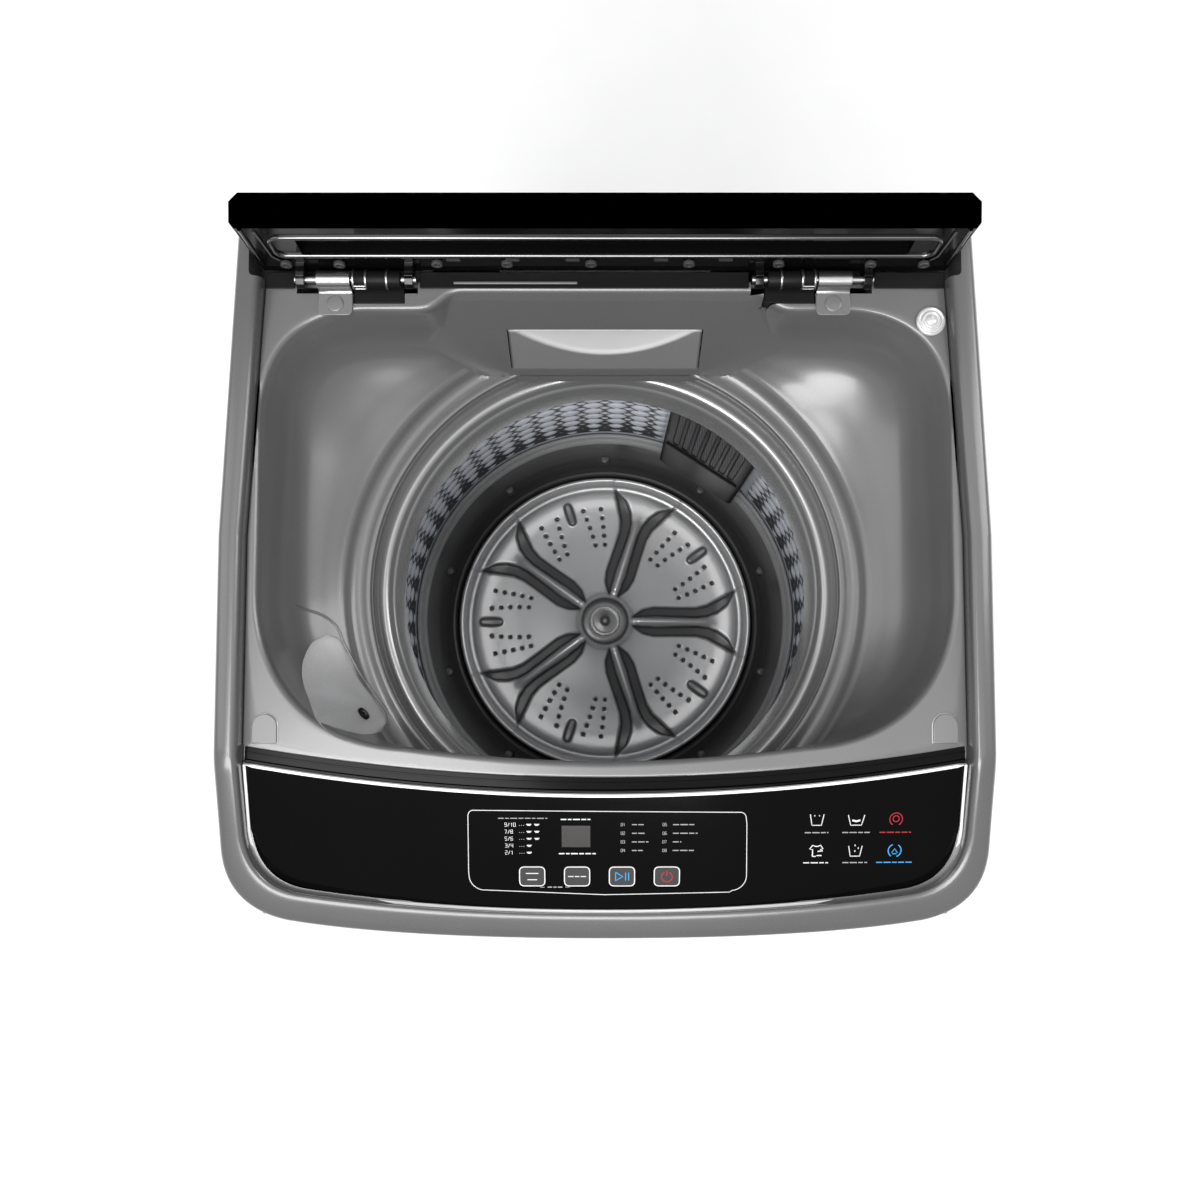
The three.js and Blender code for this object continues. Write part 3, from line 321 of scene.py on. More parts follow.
def rounded(corners, radius, steps=4, closed=True):
    """A 2-D outline with every corner rounded as far as its edges allow."""
    corners = [np.asarray(p, float) for p in corners]
    count = len(corners)
    made = []
    for i, corner in enumerate(corners):
        if not closed and i in (0, count - 1):
            made.append(corner)
            continue
        before = corners[i - 1] - corner
        after = corners[(i + 1) % count] - corner
        room = min(radius, np.linalg.norm(before) * 0.45, np.linalg.norm(after) * 0.45)
        a = corner + before / np.linalg.norm(before) * room
        b = corner + after / np.linalg.norm(after) * room
        for step in range(steps + 1):
            t = step / steps
            made.append((1 - t) ** 2 * a + 2 * t * (1 - t) * corner + t * t * b)
    return np.array(made)


def prism(outline, low, high):
    """Points and faces of a plan outline raised from one height to another."""
    outline = np.asarray(outline, float)
    n = len(outline)
    bottom = np.column_stack([outline, np.full(n, low)])
    top = np.column_stack([outline, np.full(n, high)])
    faces = [list(range(n))[::-1], list(range(n, 2 * n))]
    faces += [[i, (i + 1) % n, n + (i + 1) % n, n + i] for i in range(n)]
    return np.vstack([bottom, top]), faces


def combined(parts):
    """Several (points, faces) pairs as one."""
    points, faces, base = [], [], 0
    for part_points, part_faces in parts:
        points.append(np.asarray(part_points, float))
        faces += [[base + i for i in face] for face in part_faces]
        base += len(part_points)
    return np.vstack(points), faces


def closed_sheet(top, base):
    """Points and faces of a thin solid between two grids of points of the same size."""
    rows, columns = top.shape[:2]
    count = rows * columns
    faces = grid_faces(rows, columns)
    faces += [[count + i for i in face][::-1] for face in grid_faces(rows, columns)]
    rim = list(range(columns)) + [i * columns + columns - 1 for i in range(1, rows)]
    rim += [(rows - 1) * columns + j for j in range(columns - 2, -1, -1)]
    rim += [i * columns for i in range(rows - 2, 0, -1)]
    faces += [[a, b, count + b, count + a] for a, b in zip(rim, rim[1:] + rim[:1])]
    return np.vstack([top.reshape(-1, 3), base.reshape(-1, 3)]), faces


def block(x0, x1, y0, y1, z0, z1, corner=0.0):
    """A block with rounded upright edges."""
    corners = [(x0, y0), (x1, y0), (x1, y1), (x0, y1)]
    return prism(rounded(corners, corner) if corner else corners, z0, z1)


def turn_to_x(points, y, z, x0=0):
    """Turns a shape drawn along Z so that it runs along X, from x0, about the line (y, z)."""
    points = np.asarray(points, float)
    return np.column_stack([x0 + points[:, 2], y + points[:, 0], z + points[:, 1]])


def turn_to_y(points, x, z):
    """Turns a shape drawn along Z so that it runs along Y."""
    points = np.asarray(points, float)
    return np.column_stack([x + points[:, 0], points[:, 2], z + points[:, 1]])


def lathe(profile, sides=48, closed=True):
    """Points and faces of a profile of (radius, height) turned about the Z axis."""
    profile = np.asarray(profile, float)
    angle = np.linspace(0, 2 * math.pi, sides, endpoint=False)
    r = profile[:, 0][:, None]
    points = np.stack(
        [r * np.cos(angle), r * np.sin(angle), np.repeat(profile[:, 1][:, None], sides, 1)], -1,
    )
    return points.reshape(-1, 3), grid_faces(len(profile), sides, closed, True)


def solid_of_revolution(profile, sides=48):
    """An open profile from axis to axis, closed by fans where it meets the axis."""
    points, faces = lathe(profile, sides, closed=False)
    last = len(profile) - 1
    faces.append(list(range(sides))[::-1])
    faces.append([last * sides + i for i in range(sides)])
    return points, faces


def turned(name, profile, radius, look, body, slot, replaces):
    """A closed profile of (radius, height), its corners rounded, turned about the spin axis."""
    points, faces = lathe(rounded(profile, radius), 192)
    return add_mesh(name, points + [0, SPIN_Y, 0], faces, look, body, slot, replaces, 50)


def around(radius, angle, z):
    """Points at a distance and an angle from the spin axis."""
    radius, angle, z = np.broadcast_arrays(radius, angle, z)
    return np.stack([radius * np.cos(angle), SPIN_Y + radius * np.sin(angle), z], -1)


def swept(path, radius, sides=10, ripple=None):
    """A tube along a path of points. ripple is (depth, pitch) for a corrugated hose."""
    path = np.asarray(path, float)
    along = np.gradient(path, axis=0)
    along /= np.linalg.norm(along, axis=1)[:, None]
    length = np.concatenate([[0], np.cumsum(np.linalg.norm(np.diff(path, axis=0), axis=1))])
    side = np.cross(along[0], [0.31, 0.17, 0.93])
    side /= np.linalg.norm(side)
    angle = np.linspace(0, 2 * math.pi, sides, endpoint=False)
    rings = []
    for i, direction in enumerate(along):
        side = side - direction * (side @ direction)
        side /= np.linalg.norm(side)
        other = np.cross(direction, side)
        r = radius
        if ripple:
            r -= ripple[0] * (0.5 - 0.5 * math.cos(2 * math.pi * length[i] / ripple[1]))
        rings.append(path[i] + r * (np.cos(angle)[:, None] * side + np.sin(angle)[:, None] * other))
    faces = grid_faces(len(path), sides, False, True)
    faces.append(list(range(sides))[::-1])
    faces.append([(len(path) - 1) * sides + i for i in range(sides)])
    return np.vstack(rings), faces


def spline(knots, steps=12):
    """A smooth curve through points."""
    knots = np.asarray(knots, float)
    padded = np.vstack([2 * knots[0] - knots[1], knots, 2 * knots[-1] - knots[-2]])
    made = []
    for i in range(1, len(padded) - 2):
        a, b, c, d = padded[i - 1:i + 3]
        for t in np.linspace(0, 1, steps, endpoint=False):
            square = (2 * a - 5 * b + 4 * c - d) * t ** 2
            cube = (3 * b - a - 3 * c + d) * t ** 3
            made.append(0.5 * (2 * b + (c - a) * t + square + cube))
    made.append(knots[-1])
    return np.array(made)


def carve(piece, cutters):
    """Cuts the shapes, each (points, faces), out of the piece."""
    tools = []
    for points, faces in cutters:
        mesh = bpy.data.meshes.new("cutter")
        mesh.from_pydata((np.asarray(points, float) * MM).tolist(), [], faces)
        tool = bpy.data.objects.new("cutter", mesh)
        bpy.context.scene.collection.objects.link(tool)
        face_outwards(mesh)
        step = piece.modifiers.new("cut", "BOOLEAN")
        step.operation = "DIFFERENCE"
        step.solver = "EXACT"
        step.object = tool
        tools.append(tool)
    bpy.context.view_layer.update()
    evaluated = piece.evaluated_get(bpy.context.evaluated_depsgraph_get())
    mesh = bpy.data.meshes.new_from_object(evaluated)
    piece.modifiers.clear()
    piece.data = mesh
    for tool in tools:
        bpy.data.objects.remove(tool)
    return piece


def set_shade(piece, values):
    """Stores how light each point is for materials that read it: 1 is the plain colour."""
    mask = piece.data.attributes.new("shade", "FLOAT", "POINT")
    mask.data.foreach_set("value", np.asarray(values, np.float32).ravel())


def ease(x, low, high):
    """0 below low, 1 above high, smooth between."""
    t = np.clip((x - low) / (high - low), 0, 1)
    return t * t * (3 - 2 * t)


# ------------------------------------------------------------------ curves of the plan
def quadratic(a, b, c, steps):
    t = np.linspace(0, 1, steps + 1)[1:, None]
    a, b, c = (np.asarray(p, float) for p in (a, b, c))
    return (1 - t) ** 2 * a + 2 * t * (1 - t) * b + t * t * c


def cubic(a, b, c, d, steps):
    t = np.linspace(0, 1, steps + 1)[1:, None]
    a, b, c, d = (np.asarray(p, float) for p in (a, b, c, d))
    return (1 - t) ** 3 * a + 3 * t * (1 - t) ** 2 * b + 3 * t * t * (1 - t) * c + t ** 3 * d


def mirrored(half):
    """A half outline, from the middle of the front to the middle of the back, with its mirror image."""
    half = np.asarray(half, float)
    other = half[::-1] * [-1, 1]
    return np.vstack([half, other[1:-1]]) if abs(half[-1][0]) < 1e-6 else np.vstack([half, other[:-1]])


def opening_outline(inset, steps=16):
    """The opening in the cover, as in the CAD."""
    half, front, back = 257 - inset, -251 + inset, 207.3 - inset
    start, bend = (0, front), (half - 36, front + 15)
    return mirrored(
        np.vstack(
            [
                [start], quadratic(start, (half * 0.5, front), bend, steps),
                quadratic(bend, (half - 2, front + 22), (half, front + 60), steps), [(half, 20)],
                [(half - 10, back)],
            ]
        )
    )


def cover_outline(inset, steps=16):
    """The cover's outside, as in the CAD."""
    half, front, back = 275 - inset, -270 + inset, 270 - inset
    start, bend = (0, front), (half - 44, front + 14)
    return mirrored(
        np.vstack(
            [
                [start], quadratic(start, (half * 0.55, front), bend, steps),
                quadratic(bend, (half - 1, front + 24), (half, front + 66), steps), [(half, 20)],
                [(half - 10, back - 22)],
                quadratic((half - 10, back - 22), (half - 10, back), (half - 34, back), steps),
            ]
        )
    )


def bow_at(x):
    return CONSOLE_BOW * (np.asarray(x, float) / 261) ** 2


def panel_point(x, y, lift=0.0):
    """A point on the control panel, lifted square to it."""
    rise = DECK_TOP + (y - CONSOLE_TOP_Y - bow_at(x)) * math.tan(TILT)
    return np.stack(
        [
            np.asarray(x, float) + 0 * rise, np.asarray(y, float) - lift * math.sin(TILT) + 0 * rise,
            rise + lift * math.cos(TILT),
        ],
        -1,
    )


def radius_to(outline, angle):
    """Distance from the spin axis to an outline, along each angle."""
    a = np.asarray(outline, float) - [0, SPIN_Y]
    b = np.roll(a, -1, axis=0)
    far = np.full(len(angle), 0.0)
    for i, t in enumerate(angle):
        ray = np.array([math.cos(t), math.sin(t)])
        across = ray[0] * (b[:, 1] - a[:, 1]) - ray[1] * (b[:, 0] - a[:, 0])
        safe = np.where(abs(across) < 1e-9, 1e-9, across)
        along = (ray[1] * a[:, 0] - ray[0] * a[:, 1]) / safe
        reach = (a[:, 0] * b[:, 1] - a[:, 1] * b[:, 0]) / safe
        good = (along >= -1e-6) & (along <= 1 + 1e-6) & (reach > 0) & (abs(across) > 1e-9)
        far[i] = reach[good].max()
    return far


# ------------------------------------------------------------------ deck and bowl
def bowl_edge_outline():
    half = np.vstack(
        [
            [(0, 198.5)], [(104, 198.5)], cubic((104, 198.5), (120, 198.5), (118, 185), (138, 185), 12),
            [(176, 185)], cubic((176, 185), (222, 183), (247, 158), (249, 108), 20), [(249, -20)],
            cubic((249, -20), (248, -78), (214, -127), (140, -130), 24),
            quadratic((140, -130), (70, -139), (0, -140), 12),
        ]
    )
    return mirrored(half[::-1])


def rear_wall_y(z):
    return 198.5 - (DECK_TOP - z) * 0.35


def deck_bowl():
    """Deck and bowl as one moulded sheet: rounded edge, flowing walls, step, groove and lip."""
    sides = 720
    angle = (np.arange(sides) + 0.5) / sides * 2 * math.pi
    edge = radius_to(bowl_edge_outline(), angle)
    outer = radius_to(opening_outline(0.5), angle)
    front_line = np.array(
        [(x, CONSOLE_TOP_Y + DECK_FRONT + bow_at(x)) for x in np.linspace(-300, 300, 61)]
    )
    corners = np.vstack([front_line, [(300, 400)], [(-300, 400)]])
    outer = np.minimum(outer, radius_to(corners, angle))
    rows = []

    def level(z, share, circle, limit=True):
        plain = (1 - share) * edge + share * circle
        if limit:
            wall = (rear_wall_y(z) - SPIN_Y) / np.maximum(np.sin(angle), 0.01)
            plain = np.minimum(plain, wall)
        return plain

    def row(radius, z):
        rows.append(around(radius, angle, z))

    row(outer, DECK_TOP - 4.8)
    row(outer, DECK_TOP - 1.0)
    row(outer - 0.4, DECK_TOP - 0.3)
    row(outer - 1.2, DECK_TOP)
    rim = edge + EDGE_RADIUS
    for share in (0.3, 0.6, 0.9):
        row((1 - share) * (outer - 1.2) + share * rim, DECK_TOP)
    for step in range(7):
        turn = step / 6 * math.radians(78)
        radius = np.minimum(rim - EDGE_RADIUS * math.sin(turn), outer - 1.3)
        row(radius, DECK_TOP - EDGE_RADIUS * (1 - math.cos(turn)))
    knots = [
        (901, 0.012, 208), (885, 0.06, 208), (858, 0.16, 208), (838, 0.36, 208), (824, 0.70, 208),
        (816.5, 0.93, 208.5), (814.2, 1.0, 208),
    ]
    for z, share, circle in spline(knots, 8)[2:]:
        row(level(z, share, circle), z)
    groove = [
        (207, 813.4), (205.2, 811.8), (204, 809.5), (202.5, 806.8), (200, 804.8), (197, 803.8),
        (194, 803.8), (191, 804.6), (188.6, 805.3), (187, 804.8), (186.2, 803.4), (186, 801),
        (186, 797),
    ]
    for radius, z in groove:
        row(level(z, 1, radius), z)
    row(level(796.5, 1, 188.5), 796.5)
    first_under = len(rows)
    for z, radius in ((798, 190.5), (799.5, 196), (800.5, 204)):
        row(level(z, 1, radius, False), z)
    under = [(806, 1.0), (812, 0.92), (819, 0.72), (834, 0.37), (856, 0.17), (884, 0.07), (898, 0.03)]
    for z, share in under:
        row(np.minimum(level(z, share, 208) + 3, outer - 1.5), z)
    row(outer - 1.5, DECK_TOP - 4.8)
    points = np.array(rows)
    # The back of the sheet keeps the rear wall's slope too.
    wall = (rear_wall_y(points[..., 2]) + 3 - SPIN_Y) / np.maximum(np.sin(angle), 0.01)
    radius = np.hypot(points[..., 0], points[..., 1] - SPIN_Y)
    back = (np.arange(len(rows)) >= first_under)[:, None] & (points[..., 2] < 900)
    trimmed = np.where(back, np.minimum(radius, wall), radius)
    points = around(trimmed, angle, points[..., 2])
    faces = grid_faces(len(rows), sides, True, True)
    piece = add_mesh(
        "deck_bowl_skin", points.reshape(-1, 3), faces, LOOKS["deck_plastic"], "cabinet",
        "deck_plastic", ["deck_bowl"],
    )
    cutters = []
    # Room for each hinge's lugs and for its spring box.
    for lugs, damper in (((-222, -138), (-182.4, -146)), ((108, 192), (116, 152.4))):
        cutters.append(block(lugs[0] - 2, lugs[1] + 2, 198, 214, 886, 912))
        cutters.append(block(damper[0] - 0.6, damper[1] + 0.6, 190.5, 214, 886, 912))
    cutters.append(block(-74.8, 74.8, 140, 210, 813.2, 862.8))
    carve(piece, cutters)
    crisp(piece, 40)
    return piece


deck_bowl()


# ------------------------------------------------------------------ rings under the lip
def ring_cover():
    profile = [
        (240.3, 730), (243, 730), (243, 786), (192, 786), (190, 784), (190, 782), (236, 782),
        (240.3, 778),
    ]
    turned("tub_ring", profile, 1.0, LOOKS["ring_plastic"], "tub", "tub_plastic", ["tub_ring_cover"])


def balance_ring():
    """Liquid-filled ring: broad bright crown, thin bright step and a plain inner cone."""
    profile = [
        (169.2, 735.4), (217.3, 735.4), (217.3, 769), (211, 775.5), (186, 779.4), (183.5, 780.6),
        (179.5, 781), (176.6, 779.6), (175.6, 776), (174.6, 771.5), (173.2, 770.4), (172.2, 768.8),
    ]
    look = LOOKS["ring_plastic"]
    turned("balance_ring_body", profile, 1.5, look, "basket", "ring_plastic", ["balance_ring"])


ring_cover()
balance_ring()


# ------------------------------------------------------------------ basket
COLUMNS = 54
WALL_RADIUS = 215.2
FILTER_TURN = math.radians(57)


def dome(distance, radius, height):
    """Height of a pressed dome, flat in the middle, at a distance from its middle."""
    return height * (1 - ease(distance, radius * 0.55, radius * 1.05))


def basket_wall():
    """Stainless wall with pressed domes: large ones in columns, small ones between them."""
    per_column, step_z = 12, 2.0
    sides = COLUMNS * per_column
    angle = np.arange(sides) / sides * 2 * math.pi
    heights = np.arange(372.5, 734.9, step_z)
    turn, z = np.meshgrid(angle, heights)
    width = 2 * math.pi * WALL_RADIUS / COLUMNS
    across = ((turn / (2 * math.pi) * COLUMNS + 0.5) % 1 - 0.5) * width
    across_half = ((turn / (2 * math.pi) * COLUMNS) % 1 - 0.5) * width
    away = abs((turn - FILTER_TURN + math.pi) % (2 * math.pi) - math.pi) * WALL_RADIUS
    inward = np.zeros_like(z)
    shade = np.ones_like(z)
    patterned = (z > 392) & (z < 722)
    for row in range(13):
        middle = 404 + 24.6 * row
        big = (5.2, 8.2)[row] if row < 2 else 10.4
        small = (1.2, 2.4, 3.8)[row] if row < 3 else 4.5
        low = np.hypot(across, (z - middle) * (1.2 if row < 1 else 1.0))
        high = np.hypot(across_half, z - middle - 12.3)
        inward += dome(low, big, min(1.8, big * 0.2))
        if row < 12:
            inward += dome(high, small, small * 0.22)
        # Painted light: the middles of the domes keep the full, bright colour as painted reflection,
        # and the dome outlines and the gaps between them are darkened to 0.05 as painted shade.
        dome_painted_light = np.maximum(1 - ease(low, big - 0.4, big + 0.7), 1 - ease(high, small - 0.3, small + 0.6))
        near = abs(z - middle - 6) < 14
        shade = np.where(near, np.where(shade < 1, np.maximum(shade, dome_painted_light), dome_painted_light), shade)
    shade = np.where(patterned, 0.05 + 0.95 * shade, 1)
    plain = ease(away, 56, 60)
    inward *= plain
    shade = 1 - (1 - shade) * plain
    inner = WALL_RADIUS - 1.2 - inward
    points = np.vstack([around(inner, turn, z), around(WALL_RADIUS, turn, z)[::-1]])
    faces = grid_faces(len(points), sides, True, True)
    piece = add_mesh(
        "basket_wall_sheet", points.reshape(-1, 3), faces, LOOKS["stainless_steel"], "basket",
        "stainless_steel", ["basket_wall"],
    )
    set_shade(piece, np.vstack([shade, np.ones_like(shade)]))


def basket_floor():
    """Dark moulded floor with a double bead at its rim, low posts and a step round the pulsator."""
    profile = [
        (17, 300.8), (150, 300.8), (182, 306.2), (212.6, 366), (212.6, 390.5), (209.8, 392),
        (207.6, 390), (206.6, 386.5), (205, 388), (203.0, 385.5), (201.6, 380), (196.5, 361),
        (190.5, 343), (184.5, 329), (180.5, 322.5), (177.2, 321.2), (175.4, 319.0), (174.6, 316.5),
        (173.6, 306), (17, 304.4),
    ]
    look = LOOKS["charcoal_plastic"]
    piece = turned(
        "basket_floor_body", profile, 1.0, look, "basket", "charcoal_plastic", ["basket_floor"],
    )
    co = np.array([v.co for v in piece.data.vertices]) / MM
    radius = np.hypot(co[:, 0], co[:, 1] - SPIN_Y)
    # Painted highlight: the double bead at the floor's rim is made up to six times lighter than the
    # floor.
    bead = ease(radius, 201, 203) * (1 - ease(radius, 211.8, 212.5)) * ease(co[:, 2], 382, 385)
    set_shade(piece, 1 + 5.0 * bead)
    posts = []
    for i in range(10):
        turn = math.radians(18 + 36 * i)
        post = rounded([(0.01, 12), (5, 12), (6.5, 0), (0.01, 0)], 1.6, 3, False)
        points, faces = solid_of_revolution(post, 24)
        posts.append((points + around(191.5, turn, 338), faces))
    points, faces = combined(posts)
    piece = add_mesh("basket_floor_posts", points, faces, look, "basket", "charcoal_plastic")
    set_shade(piece, np.full(len(points), 1.6))


basket_wall()
basket_floor()


# ------------------------------------------------------------------ lint filter
def lint_filter():
    """Clip-in filter case with a row of upright mesh windows in the upper part of its inner face."""
    face_radius, low, high, half = 184.0, 402.0, 727.0, 48.0
    outline = rounded([(184, -half), (207, -half), (207, half), (184, half)], 6)
    points, faces = prism(outline, low, high)
    look = LOOKS["black_plastic"]

    def into_place(p):
        p = np.asarray(p, float)
        c, s = math.cos(FILTER_TURN), math.sin(FILTER_TURN)
        return np.column_stack([p[:, 0] * c - p[:, 1] * s, SPIN_Y + p[:, 0] * s + p[:, 1] * c, p[:, 2]])

    piece = add_mesh(
        "lint_filter_case", into_place(points), faces, look, "filter", "black_plastic", ["lint_filter"],
    )
    windows, cloths = [], []
    for i in range(7):
        y = -33 + 11 * i
        corners = [
            (y - 3.2, high - 26), (y + 3.2, high - 26), (y + 2.8, low + 128), (y - 2.8, low + 128),
        ]
        outline = rounded(corners, 2.5)
        n = len(outline)
        near = np.column_stack([np.full(n, face_radius - 3), outline])
        far = np.column_stack([np.full(n, face_radius + 2.5), outline])
        hole_faces = [list(range(n)), list(range(n, 2 * n))[::-1]]
        hole_faces += [[j, n + j, n + (j + 1) % n, (j + 1) % n] for j in range(n)]
        windows.append((into_place(np.vstack([near, far])), hole_faces))
        cloth = np.vstack(
            [
                np.column_stack([np.full(n, face_radius + 1.0), outline]),
                np.column_stack([np.full(n, face_radius + 2.2), outline]),
            ]
        )
        cloths.append((into_place(cloth), hole_faces))
    carve(piece, windows)
    crisp(piece, 40)
    bevelled(piece, 1.2)
    points, faces = combined(cloths)
    add_mesh("lint_filter_mesh", points, faces, FILTER_MESH, "filter", "black_plastic")
    ribs = [
        block(181.6, 184.6, -half + 5, half - 5, high - 16, high - 12),
        block(181.6, 184.6, -half + 5, half - 5, low + 112, low + 117),
    ]
    points, faces = combined(ribs)
    ribs = add_mesh("lint_filter_ribs", into_place(points), faces, look, "filter", "black_plastic")
    bevelled(ribs, 0.8)


lint_filter()


# ------------------------------------------------------------------ pulsator
def pulsator():
    """Silver wash plate: five ridges with grooves beside them, pills, drilled groups, raised lip."""
    sides = 900
    angle = np.arange(sides) / sides * 2 * math.pi
    radii = np.concatenate(
        [np.linspace(17.6, 30, 14), np.linspace(31, 168, 150), np.linspace(168.5, 172, 6)]
    )
    turn, r = np.meshgrid(angle, radii)
    knots_r = [17, 22, 28, 32, 36, 60, 100, 130, 148, 154, 158, 162, 165, 167, 169, 170.8, 172]
    knots_z = [
        352, 352, 350.5, 346, 340.5, 334.5, 328.5, 326.6, 327.0, 326.2, 325.6, 327, 329.8, 331.2, 331.8,
        330.8, 328,
    ]
    profile = spline(list(zip(knots_r, knots_z)), 12)
    z = np.interp(r, profile[:, 0], profile[:, 1])
    shade = np.ones_like(z)
    sector = 2 * math.pi / 5
    local = (turn + sector / 2) % sector - sector / 2
    side = r * np.sin(local)
    ridge_top = np.interp(r, [26, 34, 60, 100, 118, 132], [348, 347, 342.5, 335, 331, 327.5])
    crest = ease(7.0 - abs(side), 0, 6.5) * ease(r, 29, 40) * (1 - ease(r, 116, 134))
    reach = np.interp(
        r, [30, 36, 45, 60, 90, 109, 122, 134, 145, 154, 163],
        [4.5, 6.4, 9.6, 11.8, 11, 10.8, 13, 18.4, 25, 33, 41],
    )
    half = np.interp(
        r, [30, 36, 48, 60, 109, 134, 148, 155, 158.5], [0.2, 2.6, 5.4, 6.3, 6.8, 8.2, 6.6, 3.4, 0.2],
    )
    away = abs(abs(side) - reach)
    groove = ease(half + 1.6 - away, 0, 5.0) * ease(r, 29, 34)
    z = np.where(crest > 0, z + np.maximum(ridge_top - z, 0) * crest, z)
    z = z - 3.4 * groove
    # Painted shade darkens the grooves beside the ridges, and a painted highlight lightens each ridge's
    # crest between r 30 and 100.
    shade *= 1 - 0.86 * ease(half + 0.8 - away, 0, 2.4) * ease(r, 29, 33)
    shade *= 1 + 0.5 * ease(1.6 - abs(side), 0, 1.2) * ease(r, 30, 36) * (1 - ease(r, 60, 100))
    middle = (turn % sector) - sector / 2
    from_axis = r * np.sin(middle)
    along_axis = r * np.cos(middle)
    past = np.clip(abs(along_axis - 134.5) - 10, 0, None)
    pill = np.hypot(past, from_axis)
    taper = 1 - 0.35 * ((along_axis - 134.5) / 16.5) ** 2
    pill = pill / np.clip(taper, 0.5, 1)
    z = z + 3.6 * ease(6.8 - pill, 0, 4.5)
    shade *= 1 - 0.66 * (1 - ease(pill, 5.2, 6.2))
    shade *= 1 - 0.90 * (1 - ease(r, 26.5, 29))
    for i in range(5):
        t = i / 4
        out = 92 + 43 * t
        for offset in (math.radians(11 - 4 * t), math.radians(18 - 2 * t)):
            near = np.hypot(r * np.cos(abs(middle) - offset) - out, r * np.sin(abs(middle) - offset))
            hole = ease(2.7 - near, 0, 0.9)
            z = z - 3.5 * hole
            # Painted shade: each drilled dent is darkened almost to black.
            shade *= 1 - 0.93 * hole
    # Painted shade in the trough between r 153 and 164, and on the lip's outer slope past r 171.
    trough_shade = ease(r, 152.5, 155) * (1 - ease(r, 162, 164.5))
    shade *= 1 - 0.30 * trough_shade
    shade = np.where(r > 171, 0.5, shade)
    underside = ((171.8, 318), (158, 306.3), (17.6, 306.3))
    under = [around(radius, angle, height)[None] for radius, height in underside]
    points = np.vstack([around(r, turn, z), *under])
    piece = add_mesh(
        "pulsator_plate", points.reshape(-1, 3), grid_faces(len(points), sides, True, True),
        LOOKS["pulsator_silver"], "pulsator", "pulsator_silver", ["pulsator"], smooth=60,
    )
    # The underside is set to 0.3 as painted shade.
    set_shade(piece, np.concatenate([shade.ravel(), np.full(3 * sides, 0.3)]))
    cap = [
        (0.01, 346.8), (17.2, 346.8), (17.2, 354.2), (16.2, 355.4), (15.0, 354.0), (13, 353.6),
        (6, 354.4), (3.2, 355.4), (0.01, 357.2),
    ]
    points, faces = solid_of_revolution(rounded(cap, 0.8, 3, False), 96)
    piece = add_mesh(
        "pulsator_hub_cap", points + [0, SPIN_Y, 0], faces, LOOKS["pulsator_silver"], "pulsator",
        "pulsator_silver", ["pulsator_cap"],
    )
    ring = around(15.3, np.linspace(0, 2 * math.pi, 97), 355.3)
    add_mesh(
        "pulsator_hub_ring", *swept(ring, 0.95, 10), LOOKS["silver_plastic"], "pulsator",
        "pulsator_silver", smooth=60,
    )
    # Painted light on the hub cap: dark (0.14) overall, with a painted highlight on the top edge of its
    # rim and another on the dome in the middle.
    height = points[:, 2]
    away = np.hypot(points[:, 0], points[:, 1])
    rim = ease(away, 13.8, 14.6) * ease(height, 350, 352)
    set_shade(piece, 0.14 + 1.2 * rim + 0.9 * (1 - ease(away, 0.5, 3.5)))


pulsator()


# ------------------------------------------------------------------ cover frame
def top_cover():
    """Moulded frame round the deck: rounded rim, front sloping with the panel, trough at the back."""
    sides = 900
    angle = (np.arange(sides) + 0.5) / sides * 2 * math.pi
    levels = []

    def at(outline, z):
        levels.append(around(radius_to(outline, angle), angle, z))

    outside = (
        (4.6, 852.3), (1.5, 852), (0.4, 853), (0, 855), (0, 908), (0.3, 911.5), (1.1, 914.6),
        (2.4, 917.2), (4.2, 919.1), (6.6, 920),
    )
    for inset, z in outside:
        at(cover_outline(inset), z)
    inside = (
        (-5.2, 920), (-3.4, 919.8), (-2.0, 919), (-0.9, 917.6), (-0.2, 915.6), (0, 913), (0, 900),
        (3, 899.4), (3, 896.6),
    )
    for inset, z in inside:
        at(opening_outline(inset), z)
    points = np.array(levels)
    under = np.array([points[-1], points[0]]).mean(0)
    under[:, 2] = np.where(under[:, 1] > 195, 882.0, 896.6)
    inner_wall = points[0].copy()
    inner_wall[:, 2] = under[:, 2] - 0.5
    points = np.concatenate([points, under[None], inner_wall[None]])
    past = np.maximum(-130 - points[..., 1], 0)
    drop = np.where(past < 16, past ** 2 / 32, past - 8) * math.tan(TILT)
    share = np.clip((points[..., 2] - 856) / (920 - 856), 0, 1)
    points[..., 2] -= drop * share
    piece = add_mesh(
        "top_cover_frame", points.reshape(-1, 3), grid_faces(len(points), sides, True, True),
        LOOKS["cover_plastic"], "cabinet", "cover_plastic", ["top_cover"],
    )
    hole_points, hole_faces = block(-11.5, 11.5, -11.5, 11.5, 240, 290, 11)
    carve(
        piece,
        [
            block(-255, 255, 206.5, 246, 886, 935, 4),
            (turn_to_y(np.asarray(hole_points), 150, 866), hole_faces),
        ],
    )
    crisp(piece, 35)


def hinge_trough():
    """Black strips behind the deck, and the slim raised rail in the middle one."""
    parts = []
    for x0, x1 in ((-246.5, -225), (-134.5, 104.5), (195.5, 246.5)):
        parts.append(block(x0, x1, 201.5, 213.5, 905.2, 906.6, 1))
    points, faces = combined(parts)
    bevelled(
        add_mesh(
            "hinge_trough_strips", points, faces, LOOKS["black_plastic"], "cabinet", "black_plastic",
        ),
        0.5,
    )
    points, faces = block(-110, -20, 204.2, 206.2, 906.5, 907.8, 0.8)
    bevelled(
        add_mesh("hinge_trough_rail", points, faces, LOOKS["grey_plastic"], "cabinet", "grey_plastic"),
        0.5,
    )


top_cover()
hinge_trough()


